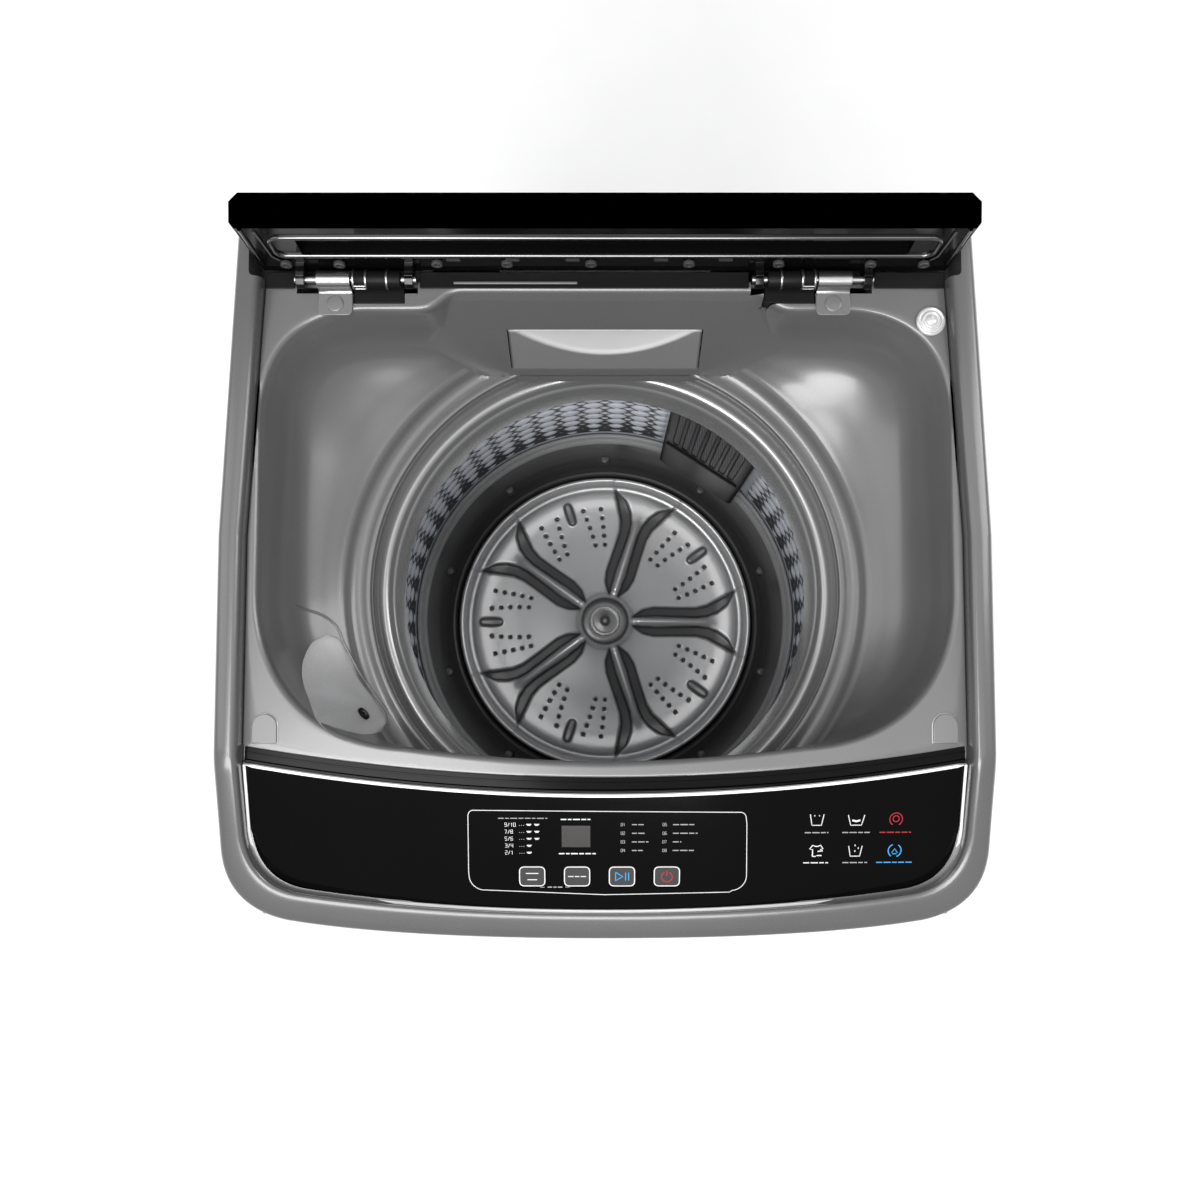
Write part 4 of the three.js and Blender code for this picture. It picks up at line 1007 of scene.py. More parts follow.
# ------------------------------------------------------------------ small pieces on the deck
def surface_height(name, x, y):
    """Height of a finished piece's upper surface at each point of the plan."""
    sheet = bpy.data.objects[name].data
    points = [v.co[:] for v in sheet.vertices]
    tree = BVHTree.FromPolygons(points, [list(f.vertices) for f in sheet.polygons])
    down = Vector((0, 0, -1))
    starts = [Vector((a * MM, b * MM, 1.2)) for a, b in zip(x, y)]
    return np.array([tree.ray_cast(start, down)[0].z / MM for start in starts])


def softener_cover():
    """Crowned silver leaf over the softener inlet, its screw, and the ledge it sits on."""
    left = spline(
        [
            (-218, -47), (-226, -54), (-229, -69), (-224.6, -85), (-214.8, -100), (-204, -111.5),
            (-194, -120.5), (-183, -125.5),
        ],
        6,
    )
    right = spline(
        [
            (-215, -46.4), (-207, -51), (-200.8, -65.5), (-194, -80), (-184.2, -94.5), (-177, -105),
            (-172.6, -114), (-175.5, -122),
        ],
        6,
    )
    low_left = surface_height("deck_bowl_skin", left[:, 0], left[:, 1])
    low_right = surface_height("deck_bowl_skin", right[:, 0], right[:, 1])
    across = np.linspace(0, 1, 21)
    rows = []
    for i, (a, b) in enumerate(zip(left, right)):
        s = i / (len(left) - 1)
        line = (1 - across)[:, None] * a + across[:, None] * b
        z = (1 - across) * low_left[i] + across * low_right[i]
        taper = math.sin(math.pi * min(max(s, 0.002), 0.998)) ** 0.4
        crown = 2.2 * np.sin(math.pi * across) ** 0.5 * taper
        rows.append(np.column_stack([line, z + 1.0 + crown]))
    top = np.array(rows)
    base = top.copy()
    base[..., 2] -= 2.2
    points, faces = closed_sheet(top, base)
    add_mesh(
        "softener_leaf", points, faces, LOOKS["silver_plastic"], "cabinet", "silver_plastic",
        ["softener_cover"],
    )
    ledge = spline(
        [
            (-237, -26), (-221, -31), (-210.5, -40), (-205, -53), (-198, -67), (-190.5, -81),
            (-181.5, -94), (-173, -106), (-170.5, -117),
        ],
        6,
    )
    z = surface_height("deck_bowl_skin", ledge[:, 0], ledge[:, 1])
    points, faces = swept(np.column_stack([ledge, z - 0.1]), 1.1, 10)
    add_mesh("softener_ledge", points, faces, LOOKS["deck_plastic"], "cabinet", "deck_plastic")
    x, y = -184.7, -108
    z = surface_height("softener_leaf", [x], [y])[0] + 0.2
    head = rounded([(0.01, 0), (5.3, 0), (5.3, 2.2), (0.01, 2.6)], 0.8, 3, False)
    points, faces = solid_of_revolution(head, 32)
    ends = surface_height("softener_leaf", [x - 8, x + 2, x, x], [y, y, y - 4, y + 4])
    facing = Vector(((ends[0] - ends[1]) / 10, (ends[2] - ends[3]) / 8, 1))
    tilt = np.array(Vector((0, 0, 1)).rotation_difference(facing).to_matrix())
    place = np.array([x, y, z])
    add_mesh(
        "softener_screw_head", points @ tilt.T + place, faces, LOOKS["black_plastic"], "cabinet",
        "black_plastic", ["softener_screw"],
    )
    points, faces = combined(
        [block(-3.4, 3.4, -0.45, 0.45, 2.45, 2.85, 0.3), block(-0.45, 0.45, -3.4, 3.4, 2.45, 2.85, 0.3)]
    )
    points = points @ tilt.T + place
    add_mesh("softener_screw_cross", points, faces, LOOKS["grey_plastic"], "cabinet", "grey_plastic")


def bumpers():
    """Two soft stops for the lid, arch-shaped, each with a thin raised outline."""
    for side, x in (("left", -241), ("right", 241)):
        arch = [(x - 9, -127), (x + 9, -127)] + [
            (x + 9 * math.cos(t), -115 + 9 * math.sin(t)) for t in np.linspace(0, math.pi, 17)
        ]
        points, faces = prism(arch, 905.1, 907.2)
        piece = add_mesh(
            f"lid_stop_{side}", points, faces, LOOKS["grey_plastic"], "cabinet", "grey_plastic",
            [f"bumper_{side}"],
        )
        bevelled(piece, 0.7, 3)
        outline = [(px, py, 905.3) for px, py in arch[1:]] + [(x - 9, -127, 905.3)]
        points, faces = swept(outline, 0.55, 8)
        add_mesh(
            f"lid_stop_rim_{side}", points, faces, LOOKS["silver_plastic"], "cabinet", "silver_plastic",
        )


def spirit_level():
    profile = [
        (0.01, 905.2), (10.6, 905.2), (10.6, 907.2), (9.3, 908.2), (8.4, 907.4), (7.6, 907.4),
        (7.0, 908.6), (6.2, 909.0), (5.4, 908.0), (4.6, 908.2), (3.6, 909.6), (1.6, 910.2),
        (0.01, 910.3),
    ]
    points, faces = solid_of_revolution(rounded(profile, 0.35, 2, False), 64)
    add_mesh(
        "level_bubble", points + [236, 177, 0], faces, LOOKS["silver_plastic"], "cabinet", "chrome",
        ["spirit_level"],
    )


softener_cover()
bumpers()
spirit_level()


# ------------------------------------------------------------------ hinges
def bent_sheet(path, thick, x0, x1):
    """A strip of sheet metal bent along a path of (y, z) points, from x0 to x1."""
    path = np.asarray(path, float)
    along = np.gradient(path, axis=0)
    along /= np.linalg.norm(along, axis=1)[:, None]
    normal = np.column_stack([-along[:, 1], along[:, 0]])
    ring = np.vstack([path + normal * thick / 2, (path - normal * thick / 2)[::-1]])
    n = len(ring)
    points = np.vstack([np.column_stack([np.full(n, x), ring]) for x in (x0, x1)])
    faces = [[i, (i + 1) % n, n + (i + 1) % n, n + i] for i in range(n)]
    half = len(path)
    for base in (0, n):
        faces += [[base + i, base + i + 1, base + n - 2 - i, base + n - 1 - i] for i in range(half - 1)]
    return points, faces


def hinges():
    """Curled silver strap with its rivet, and the black spring box with silver washers and pin."""
    for side, strap, box, towards in HINGE_SIDES:
        x0, x1 = strap
        middle = (x0 + x1) / 2
        curl = [
            (
                HINGE_Y + 5.6 * math.cos(t), HINGE_Z + 5.6 * math.sin(t),
            ) for t in np.radians(np.arange(205, -60, -12))
        ]
        path = [(197.5, 906.3), (199.2, 906.8), (200.2, 908)] + curl
        points, faces = bent_sheet(path, 1.5, x0 + 0.4, x1 - 0.4)
        bevelled(
            add_mesh(
                f"strap_curl_{side}", points, faces, LOOKS["hinge_steel"], "cabinet", "hinge_steel",
                [f"hinge_strap_{side}"],
            ),
            0.3,
        )
        tab = rounded([(x0, 181.5), (x1, 181.5), (x1, 199), (x0, 199)], 4.5, 5)
        points, faces = prism(tab, 905.15, 906.9)
        bevelled(
            add_mesh(
                f"strap_tab_{side}", points, faces, LOOKS["grey_plastic"], "cabinet", "grey_plastic",
            ),
            0.45, 3,
        )
        rivet = [(0.01, 906.2), (6.2, 906.2), (6.2, 907.3), (5.2, 907.8), (0.01, 907.9)]
        points, faces = solid_of_revolution(rounded(rivet, 0.4, 2, False), 40)
        add_mesh(
            f"strap_rivet_{side}", points + [middle, 190, 0], faces, LOOKS["grey_plastic"], "cabinet",
            "grey_plastic",
        )
        b0, b1 = box
        lower = block(b0, b1, 191.2, 211.5, 893, 904.6, 1)
        barrel = [(0.01, b0 + 1), (6.4, b0 + 1), (6.4, b1 - 1), (0.01, b1 - 1)]
        points, faces = solid_of_revolution(rounded(barrel, 1, 2, False), 32)
        points, faces = combined([lower, (turn_to_x(points, HINGE_Y, HINGE_Z), faces)])
        bevelled(
            add_mesh(
                f"spring_box_{side}", points, faces, LOOKS["black_plastic"], "cabinet", "black_plastic",
                [f"hinge_damper_{side}"],
            ),
            0.5,
        )
        start = b0 if towards > 0 else b1
        washers = []
        for offset in (1.4, 10.4, 25.5):
            x = start + towards * offset
            ring = [(2.0, -0.7), (7.4, -0.7), (7.4, 0.7), (2.0, 0.7)]
            points, faces = lathe(rounded(ring, 0.3, 2), 40)
            washers.append((turn_to_x(points, HINGE_Y, HINGE_Z, x), faces))
        for height in (-2.6, 3.0):
            y, z = HINGE_Y - 5.9, HINGE_Z + height
            pin = [(start + towards * 1.4, y, z), (start + towards * 10.4, y, z)]
            washers.append(swept(pin, 0.9, 10))
        points, faces = combined(washers)
        add_mesh(
            f"spring_washers_{side}", points, faces, LOOKS["hinge_steel"], "cabinet", "hinge_steel",
        )


hinges()


# ------------------------------------------------------------------ console
PANEL_OUTLINE = opening_outline(2.6)


def front_of(outline, x):
    """Where the front side of an outline lies, at each distance x from the middle."""
    half = outline[(outline[:, 0] >= -1e-6) & (outline[:, 1] < 21)]
    half = half[np.argsort(half[:, 0], kind="stable")]
    return np.interp(np.abs(x), half[:, 0], half[:, 1])


def ribbon(path, width, low, high, closed=False, place=panel_point):
    """A flat band along a path in the plan, laid on the control panel between two lifts above it."""
    path = np.asarray(path, float)
    if closed:
        along = np.roll(path, -1, axis=0) - np.roll(path, 1, axis=0)
    else:
        along = np.gradient(path, axis=0)
    along /= np.linalg.norm(along, axis=1)[:, None]
    normal = np.column_stack([-along[:, 1], along[:, 0]]) * width / 2
    left, right = path + normal, path - normal
    edges = ((left, low), (left, high), (right, high), (right, low))
    rows = [place(edge[:, 0], edge[:, 1], lift) for edge, lift in edges]
    faces = grid_faces(len(path), 4, closed, True)
    if not closed:
        last = 4 * (len(path) - 1)
        faces += [[3, 2, 1, 0], [last, last + 1, last + 2, last + 3]]
    return np.stack(rows, 1).reshape(-1, 3), faces


def flat_point(x, y, lift):
    return np.column_stack([x, y, np.full(len(x), lift)])


def dense(path, step=4.0):
    """A polyline with extra points, so that it follows the bowed panel."""
    path = np.asarray(path, float)
    made = [path[0]]
    for a, b in zip(path, path[1:]):
        count = max(1, int(np.linalg.norm(b - a) / step))
        made += [a + (b - a) * i / count for i in range(1, count + 1)]
    return np.array(made)


def console():
    """Gloss black panel with button openings, the stepped ledge behind it and the thin bright trim."""
    columns = np.linspace(-254.35, 254.35, 121)
    share = np.linspace(0, 1, 30)
    back = CONSOLE_TOP_Y + bow_at(columns) - 1.9
    front = np.maximum(front_of(PANEL_OUTLINE, columns), CONSOLE_TOP_Y + bow_at(columns) - 95)
    y = back + (front - back) * share[:, None]
    x = np.broadcast_to(columns, y.shape)
    top = panel_point(x, y)
    base = panel_point(x, y, -3.0)
    points, faces = closed_sheet(top, base)
    piece = add_mesh(
        "console_glass", points, faces, LOOKS["console_gloss"], "cabinet", "console_gloss",
        ["console_panel"],
    )
    carve(piece, [button_shape(i, 0.35, -14, 14) for i in range(4)])
    crisp(piece, 40)
    x = np.linspace(-255.5, 255.5, 121)
    profile = [
        (0.4, -3.2), (0.4, -1.4), (1.0, -0.9), (2.6, -0.9), (3.2, -1.6), (3.4, -2.6), (7.2, -2.6),
        (7.4, -1.9), (8.4, -1.9), (8.6, -2.6), (11.6, -2.6), (11.6, -6.0), (0.4, -6.0),
    ]
    back = CONSOLE_TOP_Y + bow_at(x)
    points = np.array([flat_point(x, back + dy, DECK_TOP + dz) for dy, dz in profile])
    starts = [i * len(x) for i in range(len(profile))]
    faces = grid_faces(len(profile), len(x), True, False)
    faces += [starts, [start + len(x) - 1 for start in starts][::-1]]
    add_mesh(
        "console_ledge", points.reshape(-1, 3), faces, LOOKS["console_gloss"], "cabinet",
        "console_gloss",
    )
    edge = np.linspace(-255.2, 255.2, 90)
    side = opening_outline(1.35)
    round_front = side[side[:, 1] < CONSOLE_TOP_Y + CONSOLE_BOW - 3]
    right = round_front[round_front[:, 0] >= 0]
    left = round_front[round_front[:, 0] < 0]
    right = right[np.argsort(right[:, 0], kind="stable")][::-1]
    left = left[np.argsort(-left[:, 0], kind="stable")]
    loop = np.vstack([np.column_stack([edge, CONSOLE_TOP_Y + bow_at(edge) - 0.85]), right, left])
    points, faces = ribbon(loop, 1.9, -2.4, 0.8, closed=True)
    add_mesh(
        "console_bright_trim", points, faces, LOOKS["chrome_trim"], "cabinet", "chrome",
        ["console_trim"], smooth=30,
    )


def button_outline(grow=0.0, corner=5.0):
    half_x, half_y = 10 + grow, 8.5 + grow
    return rounded(
        [(-half_x, -half_y), (half_x, -half_y), (half_x, half_y), (-half_x, half_y)], corner + grow, 5,
    )


def on_button(i, points):
    """Moves points drawn flat about a button's middle to where the button is."""
    points = np.asarray(points, float)
    x = FIRST_BUTTON_X + BUTTON_PITCH * i
    middle = panel_point(np.array(x), np.array(BUTTON_Y))
    c, s = math.cos(TILT), math.sin(TILT)
    return np.column_stack(
        [
            middle[0] + points[:, 0], middle[1] + points[:, 1] * c - points[:, 2] * s,
            middle[2] + points[:, 1] * s + points[:, 2] * c,
        ]
    )


def button_shape(i, grow, low, high):
    points, faces = prism(button_outline(grow), low, high)
    return on_button(i, points), faces


def circle(x, y, radius, start=0, end=360, steps=28):
    t = np.radians(np.linspace(start, end, steps + 1))
    return np.column_stack([x + radius * np.cos(t), y + radius * np.sin(t)])


def buttons():
    """Four soft-cornered caps with a light rim and a printed sign each."""
    names = ("water_level", "program", "start_pause", "power")
    bars = [[(-4.5, 2.4), (4.5, 2.4)], [(-3.5, -2.6), (3.5, -2.6)]]
    dashes = [[(-6.5, 0), (-2.6, 0)], [(-1.6, 0), (1.6, 0)], [(2.6, 0), (6.5, 0)]]
    play = [
        [(-4.6, 3.4), (0.6, 0), (-4.6, -3.4), (-4.6, 3.4)], [(2.6, 3.2), (2.6, -3.2)],
        [(4.8, 3.2), (4.8, -3.2)],
    ]
    power = [circle(0, -0.3, 3.9, 115, 425), [(0, 4.4), (0, 0.6)]]
    signs = (bars, dashes, play, power)
    inks = ("white", "white", "blue", "red")
    for i, (name, sign, colour) in enumerate(zip(names, signs, inks)):
        points, faces = prism(button_outline(-0.25), -7.4, 0.6)
        cap = add_mesh(
            f"button_cap_{name}", on_button(i, points), faces, LOOKS["button_plastic"],
            f"button_{i + 1}", "button_plastic", [f"button_{name}"],
        )
        bevelled(cap, 0.5, 3)
        points, faces = ribbon(button_outline(-0.95, 4.6), 0.75, 0.5, 0.68, True, flat_point)
        add_mesh(
            f"button_rim_{name}", on_button(i, points), faces, INKS["white"], f"button_{i + 1}",
            "silver_plastic",
        )
        strokes = combined([ribbon(dense(line, 2), 0.7, 0.5, 0.7, place=flat_point) for line in sign])
        add_mesh(
            f"button_sign_{name}", on_button(i, strokes[0]), strokes[1], INKS[colour],
            f"button_{i + 1}", "silver_plastic",
        )


DIGITS = {
    "0": [[(0, 0), (1, 0), (1, 1), (0, 1), (0, 0)]],
    "1": [[(0.2, 0.8), (0.6, 1), (0.6, 0)]],
    "2": [[(0, 1), (1, 1), (1, 0.5), (0, 0.5), (0, 0), (1, 0)]],
    "3": [[(0, 1), (1, 1), (1, 0), (0, 0)], [(0.3, 0.5), (1, 0.5)]],
    "4": [[(0, 1), (0, 0.45), (1, 0.45)], [(1, 1), (1, 0)]],
    "5": [[(1, 1), (0, 1), (0, 0.5), (1, 0.5), (1, 0), (0, 0)]],
    "6": [[(1, 1), (0, 1), (0, 0), (1, 0), (1, 0.5), (0, 0.5)]],
    "7": [[(0, 1), (1, 1), (0.4, 0)]],
    "8": [[(0, 0), (1, 0), (1, 1), (0, 1), (0, 0)], [(0, 0.5), (1, 0.5)]],
    "9": [[(1, 0.5), (0, 0.5), (0, 1), (1, 1), (1, 0), (0, 0)]],
    "/": [[(0.1, 0), (0.9, 1)]],
}


def number(text, x, y, height=2.6):
    """Strokes of a number whose lower left corner is at (x, y)."""
    wide = height * 0.5
    made = []
    for place, sign in enumerate(text):
        for line in DIGITS[sign]:
            made.append([(x + place * wide * 1.55 + px * wide, y + py * height) for px, py in line])
    return made


def basin(x, y, wide, high, flare=1.4):
    return [
        [
            (x - wide / 2 - flare, y + high), (x - wide / 2 + 0.6, y), (x + wide / 2 - 0.6, y),
            (x + wide / 2 + flare, y + high),
        ]
    ]


def panel_graphics():
    """Printed frame, level table, display, programme list and six signs. Words are plain dashes."""
    frame_line = np.vstack(
        [
            dense([(-93, -174.4), (96, -175.9)]), circle(96.4, -179.8, 3.9, 85, 5, 6),
            dense([(101, -184), (102, -222)]), circle(91, -223, 11, 0, -85, 8),
            dense([(90, -235.2), (0, -237), (-86, -233.6)]), circle(-87, -222.6, 11, -95, -175, 8),
            dense([(-98.2, -219), (-97.4, -178)]), circle(-93.6, -178, 3.6, 172, 100, 6),
        ]
    )
    outline = ribbon(frame_line, 0.52, -0.1, 0.12, closed=True)
    shapes = {"white": [outline], "grey": [], "red": [], "blue": []}

    def draw(colour, lines, width=0.36):
        for line in lines:
            shapes[colour].append(ribbon(dense(line, 2.5), width, -0.1, 0.12))

    def words(colour, x0, x1, y, sizes=(4, 2.6, 5, 3.4), width=0.62):
        x, i = x0, 0
        while x < x1 - 0.8:
            end = min(x + sizes[i % len(sizes)], x1)
            draw(colour, [[(x, y), (end, y)]], width)
            x, i = end + 1.0, i + 1

    words("grey", -76, -41, -180.2)
    for row, text in enumerate(("9/10", "7/8", "5/6", "3/4", "2/1")):
        y = -186.2 - 5.15 * row
        draw("white", number(text, -71.4, y, 2.7), 0.36)
        for dot in range(3):
            draw("grey", [[(-61.2 + 1.5 * dot, y + 0.8), (-60.7 + 1.5 * dot, y + 0.8)]], 0.5)
        for cup in range(2 if row < 3 else 1):
            draw(
                "white",
                [
                    [(-55.4 + 5.6 * cup, y + 0.9), (-53 + 5.6 * cup, y + 0.9)],
                    [(-56 + 5.6 * cup, y + 1.6), (-52.4 + 5.6 * cup, y + 1.6)],
                ],
                0.6,
            )
    words("white", -31.4, -10.4, -181, width=0.85)
    words("white", -33, -6.6, -206.2, width=0.85)
    for row in range(4):
        y = -185.8 - 6.35 * row
        draw("grey", number(f"0{row + 1}", 11.4, y, 2.1), 0.36)
        words("grey", 19.2, (27.5, 29.5, 31, 27)[row], y + 1.0, (3.4, 4.6, 5), 0.7)
        draw("grey", number(f"0{row + 5}", 41.2, y, 2.1), 0.36)
        words("grey", 48.4, (63.5, 66, 54.5, 64)[row], y + 1.0, (4.2, 5.4, 3.6), 0.7)
    draw("grey", [[(-46.9, -231.4), (-43.6, -231.4)], [(-28.6, -231.2), (-25.3, -231.2)]], 0.45)
    words("grey", -41.4, -30.4, -231.3, (3.2, 2.2), 0.8)
    top, low = -185.6, -208.6
    draw("white", basin(151, top, 8, 8, 0.9), 0.6)
    draw("white", [[(149, top + 7), (149.6, top + 7)], [(152.4, top + 7), (153, top + 7)]], 0.9)
    draw("white", basin(179.3, top, 9, 7.4, 1.4), 0.6)
    draw("white", [[(176.4, top + 3.6), (179.3, top + 2.8), (182.2, top + 3.6)]], 1.3)
    draw("red", [circle(208, top + 4.2, 4.6, -60, 240), circle(208, top + 4.6, 2.2, 0, 360)], 0.6)
    shirt = [
        (149, low), (149, low + 5), (146.8, low + 5.4), (148.8, low + 8.2), (151, low + 7.4),
        (152.6, low + 7.4), (154.6, low + 8.2), (156.4, low + 5.6), (154.4, low + 5),
    ]
    draw(
        "white",
        [
            shirt, [(149, low), (151.4, low)], [(152.6, low + 3.6), (156.4, low + 4.2)],
            [(152, low + 0.6), (155.6, low + 0.6)],
        ],
        0.75,
    )
    draw("white", basin(179.8, low, 8, 7.6, 0.9), 0.6)
    draw(
        "white",
        [
            [(179.2, low + 8), (179.9, low + 8)], [(181.6, low + 6), (182.3, low + 6)],
            [(179.2, low + 3.8), (179.9, low + 3.8)],
        ],
        1.2,
    )
    draw("blue", [circle(208.5, low + 4, 4.7, -70, 60), circle(208.5, low + 4, 4.7, 110, 240)], 0.75)
    draw(
        "blue",
        [
            [(206.4, low + 2.4), (208.4, low + 5.4), (210.6, low + 2.4)],
            [(207, low + 1.6), (210, low + 1.6)],
        ],
        0.6,
    )
    labels = (
        (151.2, 17, "grey", -191), (179.6, 20, "grey", -191), (208, 23, "red", -191),
        (151.6, 18, "white", -213.4), (180, 18, "grey", -213.4), (208.6, 26, "blue", -213.4),
    )
    for x, wide, colour, y in labels:
        words(colour, x - wide / 2, x + wide / 2, y, (4.4, 5.2, 3.4), 0.75)
    for colour, parts in shapes.items():
        points, faces = combined(parts)
        add_mesh(
            f"panel_print_{colour}", points, faces, INKS[colour], "cabinet", "silver_plastic",
            smooth=30,
        )
    points, faces = ribbon(dense([(-20.7, -185.6), (-20.7, -201.4)], 3), 20.4, -0.3, 0.1)
    add_mesh("display_window", points, faces, DISPLAY, "cabinet", "console_gloss", smooth=30)


console()
buttons()
panel_graphics()


# ------------------------------------------------------------------ detergent drawer
def drawer():
    """Drawer front with its scooped grip, flush with the bowl's rear wall, and the open tray behind."""
    across = np.linspace(-74, 74, 75)
    up = np.linspace(814, 862, 49)
    x, z = np.meshgrid(across, up)
    arch = 862 - 30 * (1 - (x / 70) ** 2)
    depth = 8.0 * np.clip((z - arch) / 30 + 0.2, 0, 1)
    into = depth * ease(z - arch, -0.6, 3) * ease(862.6 - z, 0.9, 2.4)
    y = rear_wall_y(z) + into
    front = np.stack([x, y, z], -1)
    behind = front.copy()
    behind[..., 1] = rear_wall_y(z) + 11.5
    points, faces = closed_sheet(front, behind)
    piece = add_mesh(
        "drawer_front", points, faces, LOOKS["drawer_plastic"], "drawer", "grey_plastic",
        ["detergent_drawer"],
    )
    # Painted light on the drawer front: the scoop keeps the full colour as a painted highlight while
    # the rest is darkened to 0.34, painted shade runs along the arch's edge and down both sides, and a
    # painted highlight runs along the top edge.
    scoop = ease(z - arch, -0.8, 0.8)
    arc_edge_shade = ease(z - arch, -1.6, -0.6) * (1 - ease(z - arch, 0.2, 1.4))
    top_edge_highlight = ease(z, 859.8, 860.6)
    clear_of_side_shade = 1 - ease(abs(x), 73.0, 73.8)
    tone = (0.34 + 0.66 * scoop * (1 - 0.25 * arc_edge_shade) + 0.5 * top_edge_highlight) * (0.25 + 0.75 * clear_of_side_shade)
    set_shade(piece, np.concatenate([tone.ravel(), tone.ravel()]))
    tray = add_mesh(
        "drawer_tray", *block(-72.5, 72.5, 190, 238, 815.5, 860, 5), LOOKS["white_plastic"], "drawer",
        "white_plastic",
    )
    carve(tray, [block(-70.5, -1, 196, 236, 817.5, 870, 4), block(1, 70.5, 196, 236, 817.5, 870, 4)])
    bevelled(tray, 0.5)
    crisp(tray, 40)


drawer()


# ------------------------------------------------------------------ lid details
def opened(points):
    """Points drawn with the lid closed, from the hinge axis, turned to the open lid."""
    points = np.asarray(points, float)
    c, s = math.cos(-LID_OPEN), math.sin(-LID_OPEN)
    return np.column_stack(
        [
            points[:, 0], HINGE_Y + points[:, 1] * c - points[:, 2] * s,
            HINGE_Z + points[:, 1] * s + points[:, 2] * c,
        ]
    )


def lid_details():
    """Moulded ribs, ledges, screw bosses and clips on the underside, and the bead round the glass."""
    ribs = []
    frame = rounded([(-232, -47), (232, -47), (232, -19), (-232, -19)], 9, 6)
    loop = dense(np.vstack([frame, frame[:1]]), 12)
    ribs.append(swept(np.column_stack([loop, np.full(len(loop), 9.6)]), 1.9, 12))
    for side in (-1, 1):
        edge = [(246, -6, 9.6), (247, -60, 9.6), (249, -200, 9.6), (250, -318, 9.6)]
        ribs.append(swept(spline([(side * x, y, z) for x, y, z in edge], 10), 1.5, 10))
        corner = [(226, -3, 9.4), (236, -20, 9.4), (238, -58, 9.4)]
        ribs.append(swept([(side * x, y, z) for x, y, z in corner], 1.2, 10))
    # The ribs and the window bead wear grey metal instead of the black gloss: a painted highlight.
    points, faces = combined(ribs)
    add_mesh(
        "lid_underside_ribs", opened(points), faces, LOOKS["lid_highlight_metal"], "lid", "lid_gloss", smooth=60,
    )
    bead = [
        (-180, -86), (180, -86), (198, -104), (198, -298), (180, -316), (-180, -316), (-198, -298),
        (-198, -104),
    ]
    outline = rounded(bead, 9, 5)
    loop = np.vstack([outline, outline[:1]])
    points, faces = swept(np.column_stack([loop, np.full(len(loop), 9.6)]), 1.9, 10)
    add_mesh("lid_window_bead", opened(points), faces, LOOKS["lid_highlight_metal"], "lid", "lid_gloss", smooth=60)
    bosses = []
    places = (
        (-228, -9), (-190, -9), (228, -9), (190, -9), (-70, -10), (-10, -10), (60, -10), (-120, -10),
        (124, -10),
    )
    for x, y in places:
        points, faces = lathe(rounded([(1.6, 6), (4.2, 6), (4.2, 9.0), (1.6, 9.0)], 0.6, 2), 24)
        bosses.append((np.asarray(points) + [x, y, 0], faces))
    for x in (-108, -66, -23, 40, 86):
        bosses.append(block(x - 5, x + 5, -15, -12, 8.4, 9.9, 1))
    points, faces = combined(bosses)
    add_mesh("lid_underside_bosses", opened(points), faces, LOOKS["hinge_cover"], "lid", "lid_gloss")


lid_details()


# ------------------------------------------------------------------ suspension, hoses
def springs():
    """Four coil springs between cabinet and tub."""
    for end, y in (("front", -215), ("rear", 195)):
        for side, x in (("left", -205), ("right", 205)):
            turns, low, high = 4, 241.2, 297.5
            t = np.linspace(0, 1, turns * 20 + 1)
            flat = np.clip((t - 0.06) / 0.88, 0, 1)
            path = np.column_stack(
                [
                    x + 11 * np.cos(t * turns * 2 * math.pi), y + 11 * np.sin(t * turns * 2 * math.pi),
                    low + (high - low) * flat,
                ]
            )
            points, faces = swept(path, 2.0, 10)
            add_mesh(
                f"coil_spring_{end}_{side}", points, faces, LOOKS["zinc_steel"], None, "zinc_steel",
                [f"suspension_spring_{end}_{side}"], 60,
                ("cabinet", "tub", (x * MM, y * MM, 0.2405), (x * MM, y * MM, 0.2985)),
            )


def hoses():
    """Corrugated drain hose and thin air hose."""
    drain = spline(
        [
            (-95, 150.6, 222), (-95, 172, 221), (-118, 200, 195), (-165, 210, 148), (-198, 220, 121),
            (-200, 232, 120), (-200, 246, 120),
        ],
        40,
    )
    points, faces = swept(drain, 12.8, 24, ripple=(1.6, 5.0))
    add_mesh(
        "drain_hose_tube", points, faces, LOOKS["hose_rubber"], None, "hose_rubber", ["drain_hose"], 60,
        ("cabinet", "tub", (-0.165, 0.21, 0.130), (-0.095, 0.16, 0.215)),
    )
    air = spline(
        [
            (-150, 204.5, 290), (-150, 226, 293), (-150, 241, 330), (-150, 243, 500), (-150, 241, 740),
            (-150, 238, 790), (-150, 238, 831),
        ],
        24,
    )
    points, faces = swept(air, 3.4, 16)
    add_mesh(
        "air_hose_tube", points, faces, LOOKS["hose_rubber"], None, "hose_rubber", ["air_hose"], 60,
        ("tub", "cabinet", (-0.15, 0.24, 0.32), (-0.15, 0.24, 0.82)),
    )


springs()
hoses()


# ------------------------------------------------------------------ camera, floor and light
def camera():
    """Above the machine, where the photograph was taken from. The near clip cuts the raised lid."""
    data = bpy.data.cameras.new("camera")
    data.sensor_width = SENSOR
    data.lens = LENS
    data.shift_x = SIDE_SHIFT
    data.clip_start = NEAR_CLIP
    data.clip_end = 30
    eye = bpy.data.objects.new("camera", data)
    eye.location = EYE
    eye.rotation_euler = (EYE_TILT, 0, 0)
    bpy.context.scene.collection.objects.link(eye)
    bpy.context.scene.camera = eye


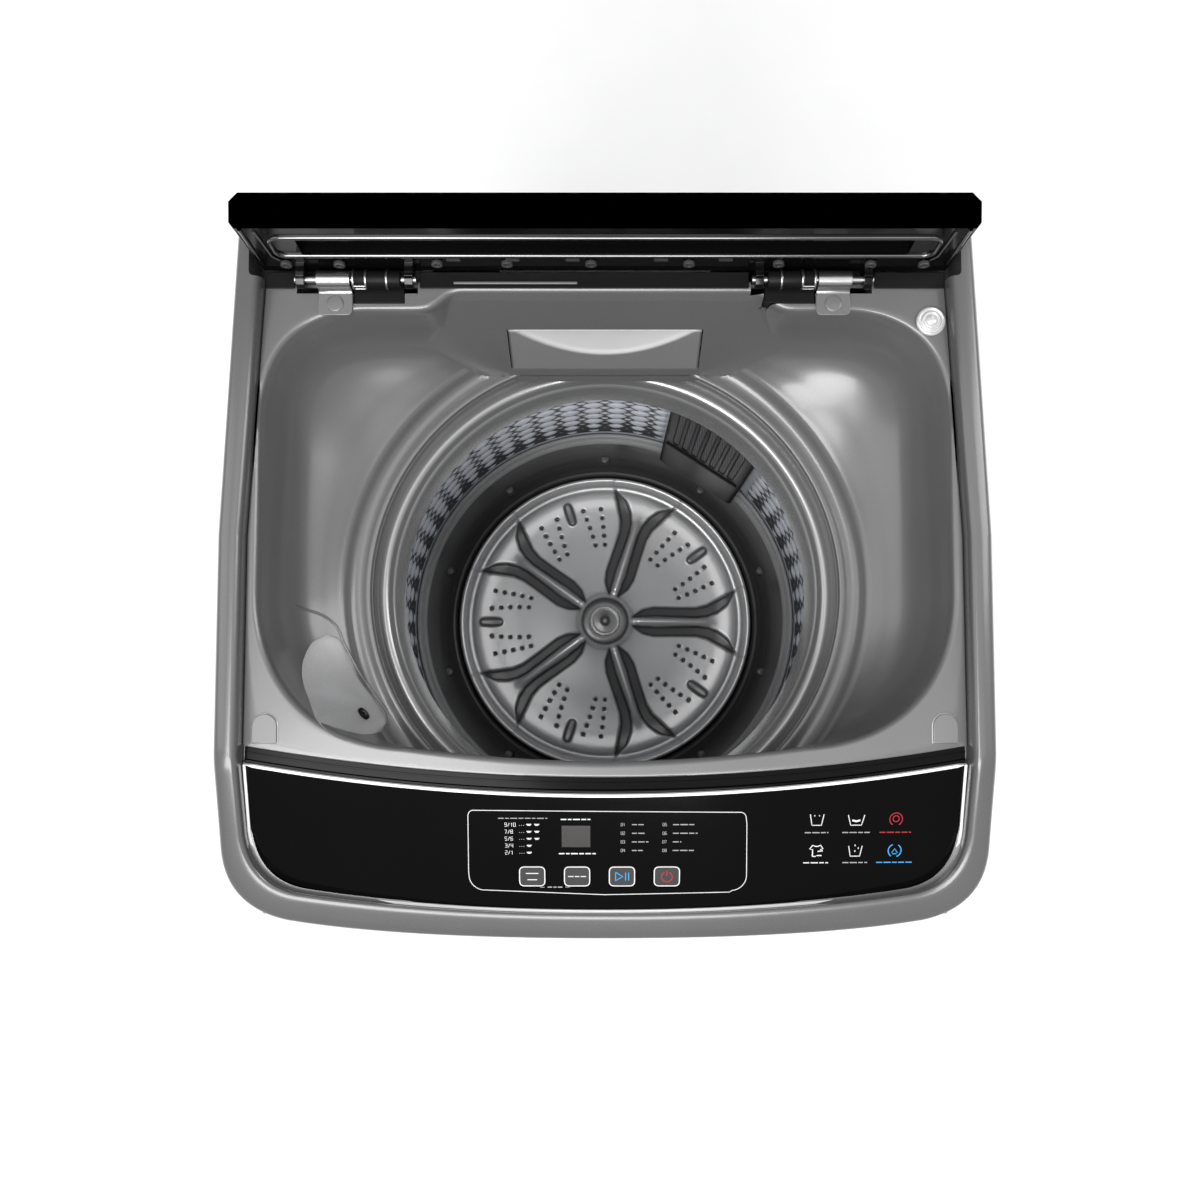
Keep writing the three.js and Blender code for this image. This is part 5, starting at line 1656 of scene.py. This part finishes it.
def stage():
    """Plain pale floor, a white world and six soft lights."""
    half, low = FLOOR_HALF, -0.5
    points = np.array([(-half, -half, low), (half, -half, low), (half, half, low), (-half, half, low)])
    floor_look = finish(
        "studio_floor", (0.92, 0.92, 0.92), 0.9, specular=0.1, grain=30, relief=0.01, spread=0.01,
    )
    mesh = bpy.data.meshes.new("studio_floor")
    mesh.from_pydata((points * MM).tolist(), [], [(0, 1, 2, 3)])
    mesh.materials.append(floor_look)
    floor = bpy.data.objects.new("studio_floor", mesh)
    bpy.context.scene.collection.objects.link(floor)
    world = bpy.data.worlds.new("studio")
    world.use_nodes = True
    world.node_tree.nodes["Background"].inputs["Color"].default_value = (1, 1, 1, 1)
    world.node_tree.nodes["Background"].inputs["Strength"].default_value = WORLD_LIGHT
    bpy.context.scene.world = world
    for name, place, size, power in (
        ("softbox_left", (-1.9, 0.2, 2.3), (0.9, 2.0), 9),
        ("softbox_right", (1.9, 0.5, 2.3), (0.6, 2.0), 19),
        ("softbox_back", (0.2, 2.2, 2.4), (2.6, 0.8), 16),
        ("softbox_top", (0.0, -0.1, 3.2), (2.2, 1.6), 12),
        ("softbox_front", (-0.3, -1.2, 2.7), (1.4, 0.8), 36),
        ("softbox_key", (-0.5, -0.38, 2.95), (0.6, 0.6), 10),
    ):
        data = bpy.data.lights.new(name, "AREA")
        data.shape = "RECTANGLE"
        data.size, data.size_y = size
        data.energy = power
        light = bpy.data.objects.new(name, data)
        light.location = place
        light.rotation_euler = (LIGHTS_AIM - Vector(place)).to_track_quat("-Z", "Y").to_euler()
        bpy.context.scene.collection.objects.link(light)
    bpy.context.scene.view_settings.view_transform = "Standard"


# ------------------------------------------------------------------ carried-over CAD pieces
def dress_cad_nodes():
    """Gives every CAD node that still shows its finish, rounded edges and smooth shading."""
    slots = {row["node"]: row["material_slot"] for row in frame["record"]["subparts"]}
    for name, node in frame["nodes"].items():
        node.data.materials.clear()
        node.data.materials.append(LOOKS[slots[name]])
        if node.hide_render:
            continue
        weld = node.modifiers.new("weld", "WELD")
        weld.merge_threshold = 0.00001
        bevelled(node, 0.5)
        node.data.shade_smooth()
        if "shade" not in node.data.attributes:
            mask = node.data.attributes.new("shade", "FLOAT", "POINT")
            mask.data.foreach_set("value", np.ones(len(node.data.vertices), np.float32))
        edges = node.modifiers.new("even_shading", "WEIGHTED_NORMAL")
        edges.keep_sharp = True


dress_cad_nodes()
camera()
stage()
